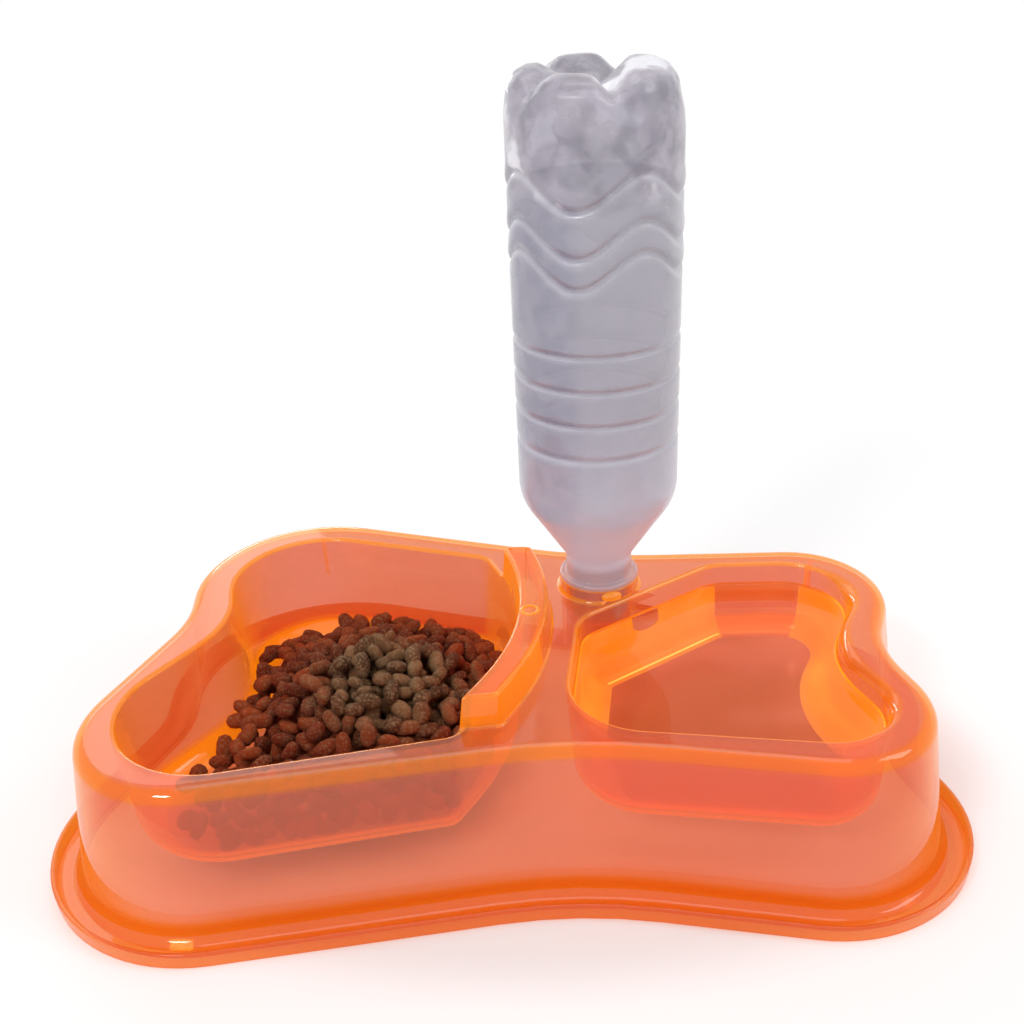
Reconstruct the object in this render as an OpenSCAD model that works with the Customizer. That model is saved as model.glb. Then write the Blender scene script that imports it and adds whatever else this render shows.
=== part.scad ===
// Two-bowl pet feeder and waterer: one translucent moulded tray, and a water bottle
// that stands upside down in the tray's socket. Millimetres, +Z up, +X towards the water bowl.

/* [Tray] */
// Length of the deck, from the food end to the water end
deck_l = 320; // [300:1:350]
// Front-to-back size of the deck at the food end
food_end_w = 199; // [185:1:215]
// Front-to-back size of the deck at the water end
water_end_w = 152; // [140:1:165]
// Front-to-back size of the deck at its waist
waist_w = 143; // [134:1:150]
// Height of the deck above the table
tray_h = 64; // [58:1:75]
// Thickness of the moulded walls
wall_t = 2; // [1.6:0.1:2.6]
// Slope of the skirt, in degrees from upright
skirt_draft = 8; // [4:0.5:10]
// Radius of the edge between deck and skirt
deck_edge_r = 6.5; // [4:0.5:8]
// Width of the water channel round the foot
moat_w = 8.7; // [7:0.1:12]
// Height of the lip outside the channel
lip_h = 7.2; // [6:0.2:12]
// Radius where the skirt runs into the channel
skirt_root_r = 5; // [3:0.5:6]

/* [Bowls] */
// Width of the deck rim between the skirt and the bowls
rim_w = 14; // [11:0.5:16]
// Depth of the food bowl below the deck
food_depth = 49; // [40:1:52]
// Depth of the water bowl below the deck
water_depth = 46; // [36:1:50]
// Slope of the bowl walls, in degrees from upright
bowl_draft = 4; // [2:0.5:6]
// Radius between a bowl's wall and its floor
bowl_root_r = 12; // [8:0.5:14]
// Radius of the bowls' upper edges
bowl_edge_r = 2; // [1:0.25:3]
// Radius of the water bowl's upper edge at the water end
wide_edge_r = 5.5; // [3:0.5:8]
// Left side of the water bowl, along X
water_left_x = 24; // [21:1:30]

/* [Guard] */
// Height of the guard wall above the deck
guard_h = 14; // [9:0.5:18]
// Width of the guard's top
guard_w = 11.6; // [10:0.2:13]
// Radius of the food bowl's wall along the guard
guard_r = 113; // [105:1:125]
// Place of that wall's furthest point, along X
guard_x = 4; // [1:0.5:6]
// Place of that wall's furthest point, along Y
guard_y = 3; // [-1:0.2:6]
// Half of the angle that the guard's arc spans
guard_half_angle = 26; // [23:1:29]

/* [Socket] */
// Place of the bottle's axis along X
socket_x = 35.8; // [34:0.2:38]
// Place of the bottle's axis along Y
socket_y = 42.2; // [40.2:0.2:43.2]
// Height of the collar above the deck
collar_h = 5.5; // [4:0.5:8]
// Gap all round between the bottle's thread and the socket
socket_gap = 0.4; // [0.3:0.05:0.6]
// Depth of the socket's pocket below the bottle's mouth
socket_sump = 13; // [8:0.5:15]
// Width of the water passage from the socket to the bowl
passage_w = 12.4; // [9:0.2:14]

/* [Ribs] */
// Thickness of the ribs between bowl and skirt
rib_t = 1.8; // [1.2:0.1:2.4]
// Height of the ribs, down from the deck
rib_h = 36; // [24:1:42]

/* [Bottle] */
// Diameter of the bottle's body
bottle_d = 64.4; // [60:0.2:68]
// Height of the bottle above its neck ring
bottle_h = 205; // [190:1:220]
// Thickness of the bottle's wall
bottle_wall = 0.8; // [0.6:0.1:1.2]
// Diameter of the neck ring
neck_ring_d = 33; // [31:0.5:34]
// Thickness of the neck ring
neck_ring_t = 2.2; // [1.6:0.2:3]
// Diameter over the neck's thread
thread_d = 27.4; // [26:0.2:28]
// Thickness of the neck's wall under its thread
neck_wall = 1.6; // [1.2:0.1:2]
// Length of the neck from the ring to the mouth
finish_l = 18; // [16:0.5:20]
// Height of the cone between neck and body
shoulder_h = 43; // [38:1:48]
// Depth of the grooves round the body
groove_depth = 1; // [0.5:0.1:1.5]
// Spacing of the grooves round the body
groove_pitch = 13.8; // [10:0.2:16]
// Height of the first groove above the neck ring
groove_start = 67; // [60:1:72]
// Direction of the first valley of the base, in degrees from +X
base_turn = -2; // [-36:1:36]

/* [Contents] */
// Height of the water in the bottle above the neck ring
water_h = 164; // [120:1:172]
// Gap between the bottle's wall and the solid that stands for its water
water_gap = 0.3; // [0.2:0.05:0.5]
// Length of one kibble pellet
pellet_l = 10.5; // [8:0.5:12]
// Width of one kibble pellet
pellet_w = 7.6; // [6:0.2:9]
// Height of the kibble heap above the bowl's floor
heap_h = 34; // [20:1:40]
// Gap between the heap and the bowl's wall
heap_gap = 0.3; // [0.2:0.05:0.5]

/* [Hidden] */

overlap = 0.01;
arc_step = 12;
least_r = 1.5;

// Corners of the deck's outline where the skirt begins, counter-clockwise, as [x, y, radius].
// The two waists in the long sides and the two in the ends are corners that turn inwards.
deck_corners = [
    [-deck_l / 2 - 22.5, -food_end_w / 2 - 16.2, 44.3],
    [28.8, -waist_w / 2 + 3, 190],
    [deck_l / 2 + 21.4, -water_end_w / 2 - 11.8, 38.6],
    [deck_l / 2 - 12.9, -1.2, 51.7],
    [deck_l / 2 + 6.9, water_end_w / 2 - 0.4, 37.7],
    [31.4, waist_w / 2 - 1, 200],
    [-deck_l / 2 + 4.9, food_end_w / 2 + 19.4, 54.7],
    [-deck_l / 2 + 21.3, 16, 60.2]
];

skirt_top_z = tray_h - deck_edge_r;
floor_t = wall_t + 0.2;
skirt_at_floor = skirt_top_z * tan(skirt_draft);
lip_out = skirt_at_floor + moat_w + wall_t;

food_floor_z = tray_h - food_depth;
water_floor_z = tray_h - water_depth;

guard_cx = guard_x - guard_r;
guard_top_z = tray_h + guard_h;
guard_posts = 10;

ring_z = tray_h + collar_h;
mouth_z = ring_z - finish_l;
socket_r = thread_d / 2 + socket_gap;
collar_r = neck_ring_d / 2;
socket_floor_z = mouth_z - socket_sump;

bottle_r = bottle_d / 2;
finish_r = thread_d / 2 - 1.2;

// A corner's neighbours, turn and half-angle
function flat(p) = [p[0], p[1]];
function unit(v) = v / norm(v);
function before(c, i) = flat(c[(i + len(c) - 1) % len(c)]);
function after(c, i) = flat(c[(i + 1) % len(c)]);
function cross_z(u, v) = u[0] * v[1] - u[1] * v[0];
function turn(c, i) = sign(cross_z(flat(c[i]) - before(c, i), after(c, i) - flat(c[i])));
function inward(c, i) = unit(unit(before(c, i) - flat(c[i])) + unit(after(c, i) - flat(c[i])));
function half_angle(c, i) =
    acos(unit(before(c, i) - flat(c[i])) * unit(after(c, i) - flat(c[i]))) / 2;

// The same outline, grown by d on all sides
function grown(c, d) = [
    for (i = [0 : len(c) - 1])
        let (p = flat(c[i]) - turn(c, i) * inward(c, i) * d / sin(half_angle(c, i)))
            [p[0], p[1], max(c[i][2] + turn(c, i) * d, least_r)]
];

// The round of one corner, as points on its arc
function corner_arc(c, i) =
    let (
        h = half_angle(c, i),
        r = c[i][2],
        centre = flat(c[i]) + inward(c, i) * r / sin(h),
        from = flat(c[i]) + unit(before(c, i) - flat(c[i])) * r / tan(h) - centre,
        sweep = (180 - 2 * h) * turn(c, i),
        steps = ceil(abs(sweep) / arc_step)
    )
    [for (k = [0 : steps])
        let (a = atan2(from[1], from[0]) + sweep * k / steps)
            centre + r * [cos(a), sin(a)]];

function outline(c) = [for (i = [0 : len(c) - 1]) each corner_arc(c, i)];

// Points [offset, z] on a quarter round: centre, radius, first angle and last angle
function round_section(centre, r, a0, a1, steps) =
    [for (k = [0 : steps]) let (a = a0 + (a1 - a0) * k / steps) centre + r * [cos(a), sin(a)]];

// A solid through the outline at each [offset, z] of a section, from its lowest ring to its last
module loft(c, section) {
    n = len(outline(c));
    points = [
        for (s = section)
            for (p = outline(grown(c, s[0]))) [p[0], p[1], s[1]]
    ];
    sides = [
        for (j = [0 : len(section) - 2])
            for (i = [0 : n - 1])
                let (k = (i + 1) % n)
                    [j * n + i, (j + 1) * n + i, (j + 1) * n + k, j * n + k]
    ];
    base = [for (i = [0 : n - 1]) i];
    top = [for (i = [0 : n - 1]) len(section) * n - 1 - i];
    polyhedron(points, concat(sides, [base, top]), convexity = 8);
}

// Where the inset edge from corner i to the next one crosses a given x
function edge_y(c, i, x) =
    let (a = flat(c[i]), b = after(c, i)) a[1] + (b[1] - a[1]) * (x - a[0]) / (b[0] - a[0]);

rim_corners = grown(deck_corners, -rim_w);
guard_ends_x = -15.3;

// The corner c moved by [x, y] and its radius changed
function moved(c, by) = [c[0] + by[0], c[1] + by[1], c[2] + by[2]];

// The food bowl follows the rim at the front, left and back, and the guard's arc on its right
food_corners = [
    moved(rim_corners[0], [-25.6, -11.9, 7.7]),
    [guard_ends_x, edge_y(rim_corners, 0, guard_ends_x) + 0.5, 9],
    [guard_cx + guard_r / cos(guard_half_angle), guard_y, guard_r],
    [guard_ends_x, edge_y(rim_corners, 5, guard_ends_x) - 3, 10],
    moved(rim_corners[6], [-0.7, -3.2, -3.9]),
    moved(rim_corners[7], [7.2, -4.2, -26.8])
];

// Place of the water bowl's back left corner, beside the socket
water_back_x = 84.2;

// The water bowl follows the rim at the front, right and back, and makes room for the socket
water_corners = [
    [water_left_x, edge_y(rim_corners, 1, water_left_x) - 3, 30],
    moved(rim_corners[2], [-1, 2.6, -1]),
    moved(rim_corners[3], [-5.2, -1.1, -20]),
    moved(rim_corners[4], [4.4, 0, 2.8]),
    [water_back_x, edge_y(rim_corners, 4, water_back_x) - 0.5, 21],
    [water_left_x + 4.2, socket_y - 27.7, 15.8]
];

function skirt_offset(z) = (skirt_top_z - z) * tan(skirt_draft);

// Outside of the tray, from the foot over the lip and the channel to the deck
outer_section = concat(
    [
        [lip_out - 0.6, 0],
        [lip_out, 1.2],
        [lip_out + 0.4, lip_h - 0.6],
        [lip_out - 0.1, lip_h],
        [lip_out + 0.5 - wall_t, lip_h],
        [lip_out - 0.2 - wall_t, floor_t + 1.5],
        [lip_out - 1.5 - wall_t, floor_t]
    ],
    round_section(
        [skirt_offset(floor_t + skirt_root_r) + skirt_root_r, floor_t + skirt_root_r],
        skirt_root_r, 270, 180 + skirt_draft / 2, 3
    ),
    round_section([-deck_edge_r, skirt_top_z], deck_edge_r, skirt_draft, 90, 4)
);

// Inside of the tray's wall, open at the foot
inner_section = concat(
    [
        [skirt_offset(0) + 2.5, -1],
        [skirt_offset(0) + 2.5, 0],
        [skirt_offset(3) + 0.6 - wall_t / 2, 3],
        [skirt_offset(floor_t + skirt_root_r) - wall_t, floor_t + skirt_root_r + 1]
    ],
    round_section([-deck_edge_r, skirt_top_z], deck_edge_r - wall_t, skirt_draft, 90, 3)
);

// Section of a bowl from its floor to the deck; extra makes it the bowl's outside
function bowl_section(floor_z, extra) =
    let (root = bowl_root_r + extra, slope = tan(bowl_draft))
        round_section(
            [-(tray_h - floor_z - bowl_root_r) * slope - bowl_root_r, floor_z + bowl_root_r],
            root, 270, 360 - bowl_draft, 4
        );

module bowl_outside(c, floor_z) {
    loft(c, concat(bowl_section(floor_z, wall_t), [[wall_t, tray_h - wall_t / 2]]));
}

module bowl_inside(c, floor_z) {
    loft(c, concat(
        bowl_section(floor_z, 0),
        round_section([bowl_edge_r, tray_h - bowl_edge_r], bowl_edge_r, 180, 90, 2),
        [[bowl_edge_r, tray_h + 1]]
    ));
}

// The bowl's right edge is rounder: a wide round whose other sides stay inside the bowl
module wide_edge(c) {
    translate([wide_edge_r, 0, 0])
        loft(grown(c, -wide_edge_r), concat(
            [[-wide_edge_r - 4, tray_h - wide_edge_r - 8]],
            round_section([wide_edge_r, tray_h - wide_edge_r], wide_edge_r, 180 - bowl_draft, 90, 4),
            [[wide_edge_r, tray_h + 1]]
        ));
}

// One end of the guard's inner or outer line: on the tangent to its arc, length beyond the arc
function guard_end(r, spread, length, side) =
    [guard_cx, guard_y] + [cos(spread) * r, side * sin(spread) * r]
        + length * [-sin(spread), side * cos(spread)];

function guard_crown(r, spread) = [guard_cx + r / cos(spread), guard_y, r];
function with_radius(p, r) = [p[0], p[1], r];

// The guard from above: two arcs about one centre, joined by a straight end at the front and back
guard_inner_r = guard_r - 1;
guard_outer_r = guard_r + guard_w + 1.2;
guard_corners = [
    with_radius(guard_end(guard_inner_r, guard_half_angle, 17, -1), 2),
    with_radius(guard_end(guard_outer_r, guard_half_angle - 2, 11, -1), 4),
    guard_crown(guard_outer_r, guard_half_angle - 4),
    with_radius(guard_end(guard_outer_r, guard_half_angle - 7, 9, 1), 6),
    with_radius(guard_end(guard_inner_r, guard_half_angle - 6, 11, 1), 4),
    guard_crown(guard_inner_r, guard_half_angle - 3)
];

// The guard stands on the deck and its inner side carries on the food bowl's wall
module guard() {
    difference() {
        loft(guard_corners, [
            [0.5, tray_h - wall_t],
            [2.4, tray_h - 0.6],
            [0.9, tray_h + 0.5],
            [0.3, tray_h + 1.8],
            [-0.9, guard_top_z - 2],
            [-1.5, guard_top_z - 0.6],
            [-2.9, guard_top_z]
        ]);
        loft(food_corners, [
            [0, tray_h - wall_t - 1],
            [0, tray_h - wall_t],
            [0.8, guard_top_z - 1.2],
            [1.2, guard_top_z - 0.4],
            [2, guard_top_z + 0.1],
            [2, guard_top_z + 1]
        ]);
    }
}

// One upright of the hollow in the guard
module guard_post(a) {
    hollow_r = guard_w / 2 - wall_t;
    translate([guard_cx, guard_y, 0])
        rotate([0, 0, a])
            translate([guard_r + wall_t + 0.8 + hollow_r, 0, 0]) {
                translate([0, 0, tray_h - 2 * wall_t])
                    cylinder(r = hollow_r, h = overlap, $fn = 20);
                translate([0, 0, guard_top_z - wall_t - overlap])
                    cylinder(r = hollow_r - 1, h = overlap, $fn = 20);
            }
}

// The hollow is a row of hulls between neighbouring uprights along the guard's arc
module guard_hollow() {
    first = -guard_half_angle - 3;
    step = (2 * guard_half_angle - 2) / guard_posts;
    for (k = [0 : guard_posts - 1])
        hull() {
            guard_post(first + k * step);
            guard_post(first + (k + 1) * step);
        }
}

module collar_outside() {
    translate([socket_x, socket_y, 0]) {
        translate([0, 0, socket_floor_z - wall_t])
            cylinder(r = socket_r + wall_t, h = ring_z - socket_floor_z, $fn = 60);
        translate([0, 0, tray_h - wall_t])
            cylinder(r1 = collar_r + 1, r2 = collar_r, h = ring_z - tray_h + wall_t, $fn = 60);
    }
}

module socket_pocket() {
    translate([socket_x, socket_y, socket_floor_z])
        cylinder(r = socket_r, h = ring_z - socket_floor_z + 1, $fn = 60);
}

passage_angle = -22;
passage_l = 34;
passage_roof_z = tray_h - 4;

// The way for the water: a tunnel with a round bottom, from the socket into the bowl
module passage(extra) {
    translate([socket_x, socket_y, socket_floor_z + 0.5 + passage_w / 2])
        rotate([0, 0, passage_angle]) {
            rotate([0, 90, 0])
                cylinder(r = passage_w / 2 + extra, h = passage_l, $fn = 32);
            translate([0, -passage_w / 2 - extra, 0])
                cube([
                    passage_l,
                    passage_w + 2 * extra,
                    passage_roof_z + extra - socket_floor_z - 0.5 - passage_w / 2
                ]);
        }
}

// Smooth bump on the front of the collar
module collar_lug() {
    translate([socket_x, socket_y, tray_h + collar_h - 2.3])
        rotate([0, 0, -71])
            translate([collar_r + 0.2, 0, 0])
                hull()
                    for (s = [-2.2, 2.2])
                        translate([0, s, 0]) sphere(r = 2.1, $fn = 16);
}

// A rib under the rim: full depth at the bowl, cut back towards the skirt
module rib(x, y, a) {
    translate([x, y, tray_h - rib_h])
        rotate([90, 0, a])
            translate([0, 0, -rib_t / 2])
                linear_extrude(height = rib_t)
                    polygon([[-5, 0], [0.5, 0], [rim_w + 2, rib_h - wall_t / 2], [-5, rib_h - wall_t / 2]]);
}

// Each rib's place at the bowl's wall and its direction, as [x, y, angle]
rib_places = [
    [-deck_l / 2 + 41, -food_end_w / 2 + 23.7, 234],
    [-deck_l / 2 + 69, food_end_w / 2 - 21.3, 108],
    [deck_l / 2 - 39, -water_end_w / 2 + 18.2, 285],
    [deck_l / 2 - 35, water_end_w / 2 - 20.7, 70]
];

module tray() {
    color([0.96, 0.42, 0.16, 0.6])
        union() {
            difference() {
                union() {
                    difference() {
                        union() {
                            difference() {
                                loft(deck_corners, outer_section);
                                loft(deck_corners, inner_section);
                            }
                            for (r = rib_places) rib(r[0], r[1], r[2]);
                            bowl_outside(food_corners, food_floor_z);
                            bowl_outside(water_corners, water_floor_z);
                            collar_outside();
                        }
                        bowl_inside(food_corners, food_floor_z);
                    }
                    guard();
                    intersection() {
                        passage(wall_t);
                        loft(deck_corners, [[-rim_w, 20], [-rim_w, tray_h]]);
                    }
                    collar_lug();
                }
                guard_hollow();
                bowl_inside(water_corners, water_floor_z);
                wide_edge(water_corners);
                socket_pocket();
                passage(0);
            }
        }
}

// Radius of the neck at the ring: its outside, or its bore when less takes the wall away
function neck_r(less) = less == 0 ? finish_r + 1 : finish_r - neck_wall - (less - bottle_wall);

// Profile of the bottle above its ring as [radius, z], less the wall's share
function groove(z, less) = [
    [bottle_r - less, z - 2],
    [bottle_r - less - groove_depth, z - 0.7],
    [bottle_r - less - groove_depth, z + 0.7],
    [bottle_r - less, z + 2]
];

function bottle_section(less) = concat(
    [
        [neck_r(less), 0],
        [neck_r(less), neck_ring_t + 1.5],
        [finish_r + 1 - less, neck_ring_t + 5],
        [finish_r + 2 - less, neck_ring_t + 9],
        [bottle_r - 3.6 - less, shoulder_h - 8],
        [bottle_r - 1.3 - less, shoulder_h - 2],
        [bottle_r - less, shoulder_h + 4]
    ],
    [for (k = [0 : 3]) each groove(groove_start + k * groove_pitch, less)],
    [
        [bottle_r - less, bottle_h - 17 - less / 2],
        [bottle_r - 1.6 - less, bottle_h - 6 - less / 2],
        [bottle_r - 4.4 - less, bottle_h - 2.2 - less],
        [bottle_r - 8, bottle_h - 0.5 - less],
        [bottle_r - 11.5, bottle_h - less],
        [bottle_r - 17, bottle_h - 1.8 - less],
        [0, bottle_h - 9 - less]
    ]
);

// Body of the bottle as a solid, with the five valleys of its base
module bottle_body(less) {
    difference() {
        rotate_extrude($fn = 72)
            polygon(concat([[0, 0]], bottle_section(less)));
        for (k = [0 : 4])
            rotate([0, 0, 72 * k + base_turn])
                translate([8, 0, bottle_h + 3])
                    rotate([0, 78, 0])
                        cylinder(r = 7 + less, h = 60, $fn = 32);
    }
}

module bottle() {
    color([0.78, 0.80, 0.88, 0.4])
        translate([socket_x, socket_y, ring_z])
            difference() {
                union() {
                    bottle_body(0);
                    cylinder(r = neck_ring_d / 2, h = neck_ring_t, $fn = 72);
                    translate([0, 0, -finish_l])
                        cylinder(r = finish_r, h = finish_l + 1, $fn = 72);
                }
                bottle_body(bottle_wall);
                translate([0, 0, -finish_l - 1])
                    cylinder(r = finish_r - neck_wall, h = finish_l + 3, $fn = 72);
            }
}

module bottle_water() {
    color([0.75, 0.82, 0.90, 0.5])
        translate([socket_x, socket_y, ring_z])
            intersection() {
                union() {
                    bottle_body(bottle_wall + water_gap);
                    translate([0, 0, -finish_l + 1])
                        cylinder(r = finish_r - neck_wall - water_gap, h = finish_l + 1, $fn = 72);
                }
                translate([0, 0, -finish_l]) cylinder(r = bottle_d, h = finish_l + water_h, $fn = 72);
            }
}

heap_x = guard_x - 61;
heap_y = guard_y + 3.2;
heap_reach_x = 58;
heap_reach_y = 64;
heap_rim_x = 74;
heap_rim_y = 92;
pellet_count = 170;
pellet_h = 6;
golden_angle = 137.508;

// Height of the heap's surface above the bowl's floor
function heap_z(x, y) =
    heap_h * exp(-pow((x - heap_x) / heap_reach_x, 2) - pow((y - heap_y) / heap_reach_y, 2));

// Upper half of one pellet, a short pillow; its lower half is in the heap
module pellet() {
    hull()
        scale([pellet_l / pellet_w, 1, 1]) {
            translate([0, 0, -pellet_h / 2]) cylinder(r = pellet_w / 2, h = pellet_h / 2, $fn = 6);
            cylinder(r = pellet_w * 0.3, h = pellet_h / 2, $fn = 6);
        }
}

// The heap's body under the pellets, as rings round its top
module heap() {
    rings = 7;
    sides = 20;
    points = concat(
        [for (j = [1 : rings]) for (i = [0 : sides - 1])
            let (
                x = heap_x + heap_rim_x * j / rings * cos(360 * i / sides),
                y = heap_y + heap_rim_y * j / rings * sin(360 * i / sides)
            )
            [x, y, food_floor_z + heap_z(x, y)]],
        [for (i = [0 : sides - 1])
            [heap_x + heap_rim_x * cos(360 * i / sides), heap_y + heap_rim_y * sin(360 * i / sides),
                food_floor_z]],
        [[heap_x, heap_y, food_floor_z + heap_h]]
    );
    bands = [for (j = [0 : rings - 1]) for (i = [0 : sides - 1])
        let (k = (i + 1) % sides)
            [j * sides + i, j * sides + k, (j + 1) * sides + k, (j + 1) * sides + i]];
    crown = [for (i = [0 : sides - 1]) [(rings + 1) * sides, (i + 1) % sides, i]];
    base = [for (i = [0 : sides - 1]) rings * sides + i];
    polyhedron(points, concat(bands, crown, [base]), convexity = 4);
}

module kibble() {
    color([0.50, 0.30, 0.16])
        intersection() {
            loft(grown(food_corners, -heap_gap), concat(
                bowl_section(food_floor_z, 0), [[0, tray_h]]
            ));
            union() {
                heap();
                for (k = [0 : pellet_count - 1])
                    let (
                        reach = sqrt((k + 0.5) / pellet_count),
                        x = heap_x + heap_rim_x * reach * cos(k * golden_angle),
                        y = heap_y + heap_rim_y * reach * sin(k * golden_angle)
                    )
                    translate([x, y, food_floor_z + heap_z(x, y)])
                        rotate([15 * sin(k * 71), 20 * cos(k * 53), k * 97])
                            pellet();
            }
        }
}

tray();
bottle();
bottle_water();
kibble();
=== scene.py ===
# %% [markdown]
# # A two-bowl pet waterer in see-through orange plastic
#
# The real thing is one injection-moulded tray, shaped like a bone from above, with a bowl for
# food and a bowl for water. A drinks bottle stands upside down in a socket behind the middle.
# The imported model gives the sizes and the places. This lesson builds the looks round it: a finer
# tray shell, a blown bottle, two bodies of water and several hundred separate food pellets.

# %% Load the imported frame
import math

import bmesh
import bpy
import numpy as np
from mathutils import Matrix


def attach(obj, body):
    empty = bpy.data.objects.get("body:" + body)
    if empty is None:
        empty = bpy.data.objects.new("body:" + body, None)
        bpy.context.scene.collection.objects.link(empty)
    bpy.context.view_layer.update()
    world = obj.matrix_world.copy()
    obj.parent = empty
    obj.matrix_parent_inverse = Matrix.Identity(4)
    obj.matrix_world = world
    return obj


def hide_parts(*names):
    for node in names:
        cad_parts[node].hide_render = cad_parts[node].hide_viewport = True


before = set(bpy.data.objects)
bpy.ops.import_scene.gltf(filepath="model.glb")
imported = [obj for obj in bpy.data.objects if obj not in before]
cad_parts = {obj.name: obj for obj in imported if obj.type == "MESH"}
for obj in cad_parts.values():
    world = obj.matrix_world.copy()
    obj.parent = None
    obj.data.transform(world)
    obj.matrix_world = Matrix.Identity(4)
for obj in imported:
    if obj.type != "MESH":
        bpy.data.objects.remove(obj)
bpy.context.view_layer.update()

# %% [markdown]
# ## Camera
#
# A product shot is set by where the eye is, where it looks, how far it rolls and how long the
# lens is. The picture was cropped off-centre, so a small lens shift moves the frame without
# turning the camera, which would make the bottle's upright sides lean.

# %% Set the camera
MM = 0.001
FRAME_PX = 1024
SENSOR_MM = 36.0
FOCAL_PX = 1273.2
CENTRE_SHIFT_PX = (-8.47, 63.06)
EYE_MM = (42.5, -427.7, 347.5)
LOOK_DOWN_DEG = 30.59
LOOK_LEFT_DEG = 5.79
ROLL_DEG = 3.1


def camera_axes(down, left, roll):
    """Right, up and forward vectors: forward from two angles, then the other two turned by the roll."""
    down, left, roll = (math.radians(a) for a in (down, left, roll))
    level_share = math.cos(down)
    ahead = np.array([-math.sin(left) * level_share, math.cos(left) * level_share, -math.sin(down)])
    level = np.cross(ahead, [0.0, 0.0, 1.0])
    level /= np.linalg.norm(level)
    over = np.cross(level, ahead)
    right = math.cos(roll) * level - math.sin(roll) * over
    up = math.sin(roll) * level + math.cos(roll) * over
    return right, up, ahead


def placed(x_axis, y_axis, z_axis, place):
    """The matrix that puts an object at a place, with its own axes turned to these."""
    matrix = np.eye(4)
    matrix[:3] = np.column_stack([x_axis, y_axis, z_axis, place])
    return Matrix(matrix.tolist())


right, up, ahead = camera_axes(LOOK_DOWN_DEG, LOOK_LEFT_DEG, ROLL_DEG)
camera_data = bpy.data.cameras.new("camera")
camera_data.sensor_width = SENSOR_MM
camera_data.lens = FOCAL_PX / FRAME_PX * SENSOR_MM
camera_data.shift_x = -CENTRE_SHIFT_PX[0] / FRAME_PX
camera_data.shift_y = CENTRE_SHIFT_PX[1] / FRAME_PX
camera = bpy.data.objects.new("camera", camera_data)
bpy.context.collection.objects.link(camera)
camera.matrix_world = placed(right, up, -ahead, np.array(EYE_MM) * MM)
bpy.context.scene.camera = camera
print("lens", round(camera_data.lens, 2), "mm")

# %% [markdown]
# ## Shader maths as Python
#
# A material is a small sum: how steeply the eye meets the wall, how sharply the wall bends, a
# little noise. Written as nodes by hand such sums are long. One class wraps a socket, so that
# `1 - mask * 0.4` in Python adds the Math nodes itself.

# %% A socket that can be added and multiplied
WHITE = (1, 1, 1, 1)


class Wire:
    """A float socket. Sums and products of wires and plain numbers add Math nodes."""

    def __init__(self, paint, socket):
        self.paint, self.socket = paint, socket

    def _math(self, operation, other=0.0, swap=False):
        pair = (other, self) if swap else (self, other)
        return self.paint.node("ShaderNodeMath", {"operation": operation}, {0: pair[0], 1: pair[1]})

    def __add__(self, other):
        return self._math("ADD", other)

    __radd__ = __add__

    def __mul__(self, other):
        return self._math("MULTIPLY", other)

    __rmul__ = __mul__

    def __sub__(self, other):
        return self._math("SUBTRACT", other)

    def __rsub__(self, other):
        return self._math("SUBTRACT", other, swap=True)

    def __pow__(self, other):
        return self._math("POWER", other)

    def clamp(self):
        return self.paint.node("ShaderNodeClamp", {}, {"Value": self})

    def ramp(self, low, high):
        """0 below low, 1 above high and a soft S between them."""
        settings = {"interpolation_type": "SMOOTHSTEP"}
        values = {"Value": self, "From Min": low, "From Max": high}
        return self.paint.node("ShaderNodeMapRange", settings, values)

# %% A material, or the world, that nodes can be added to


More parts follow.
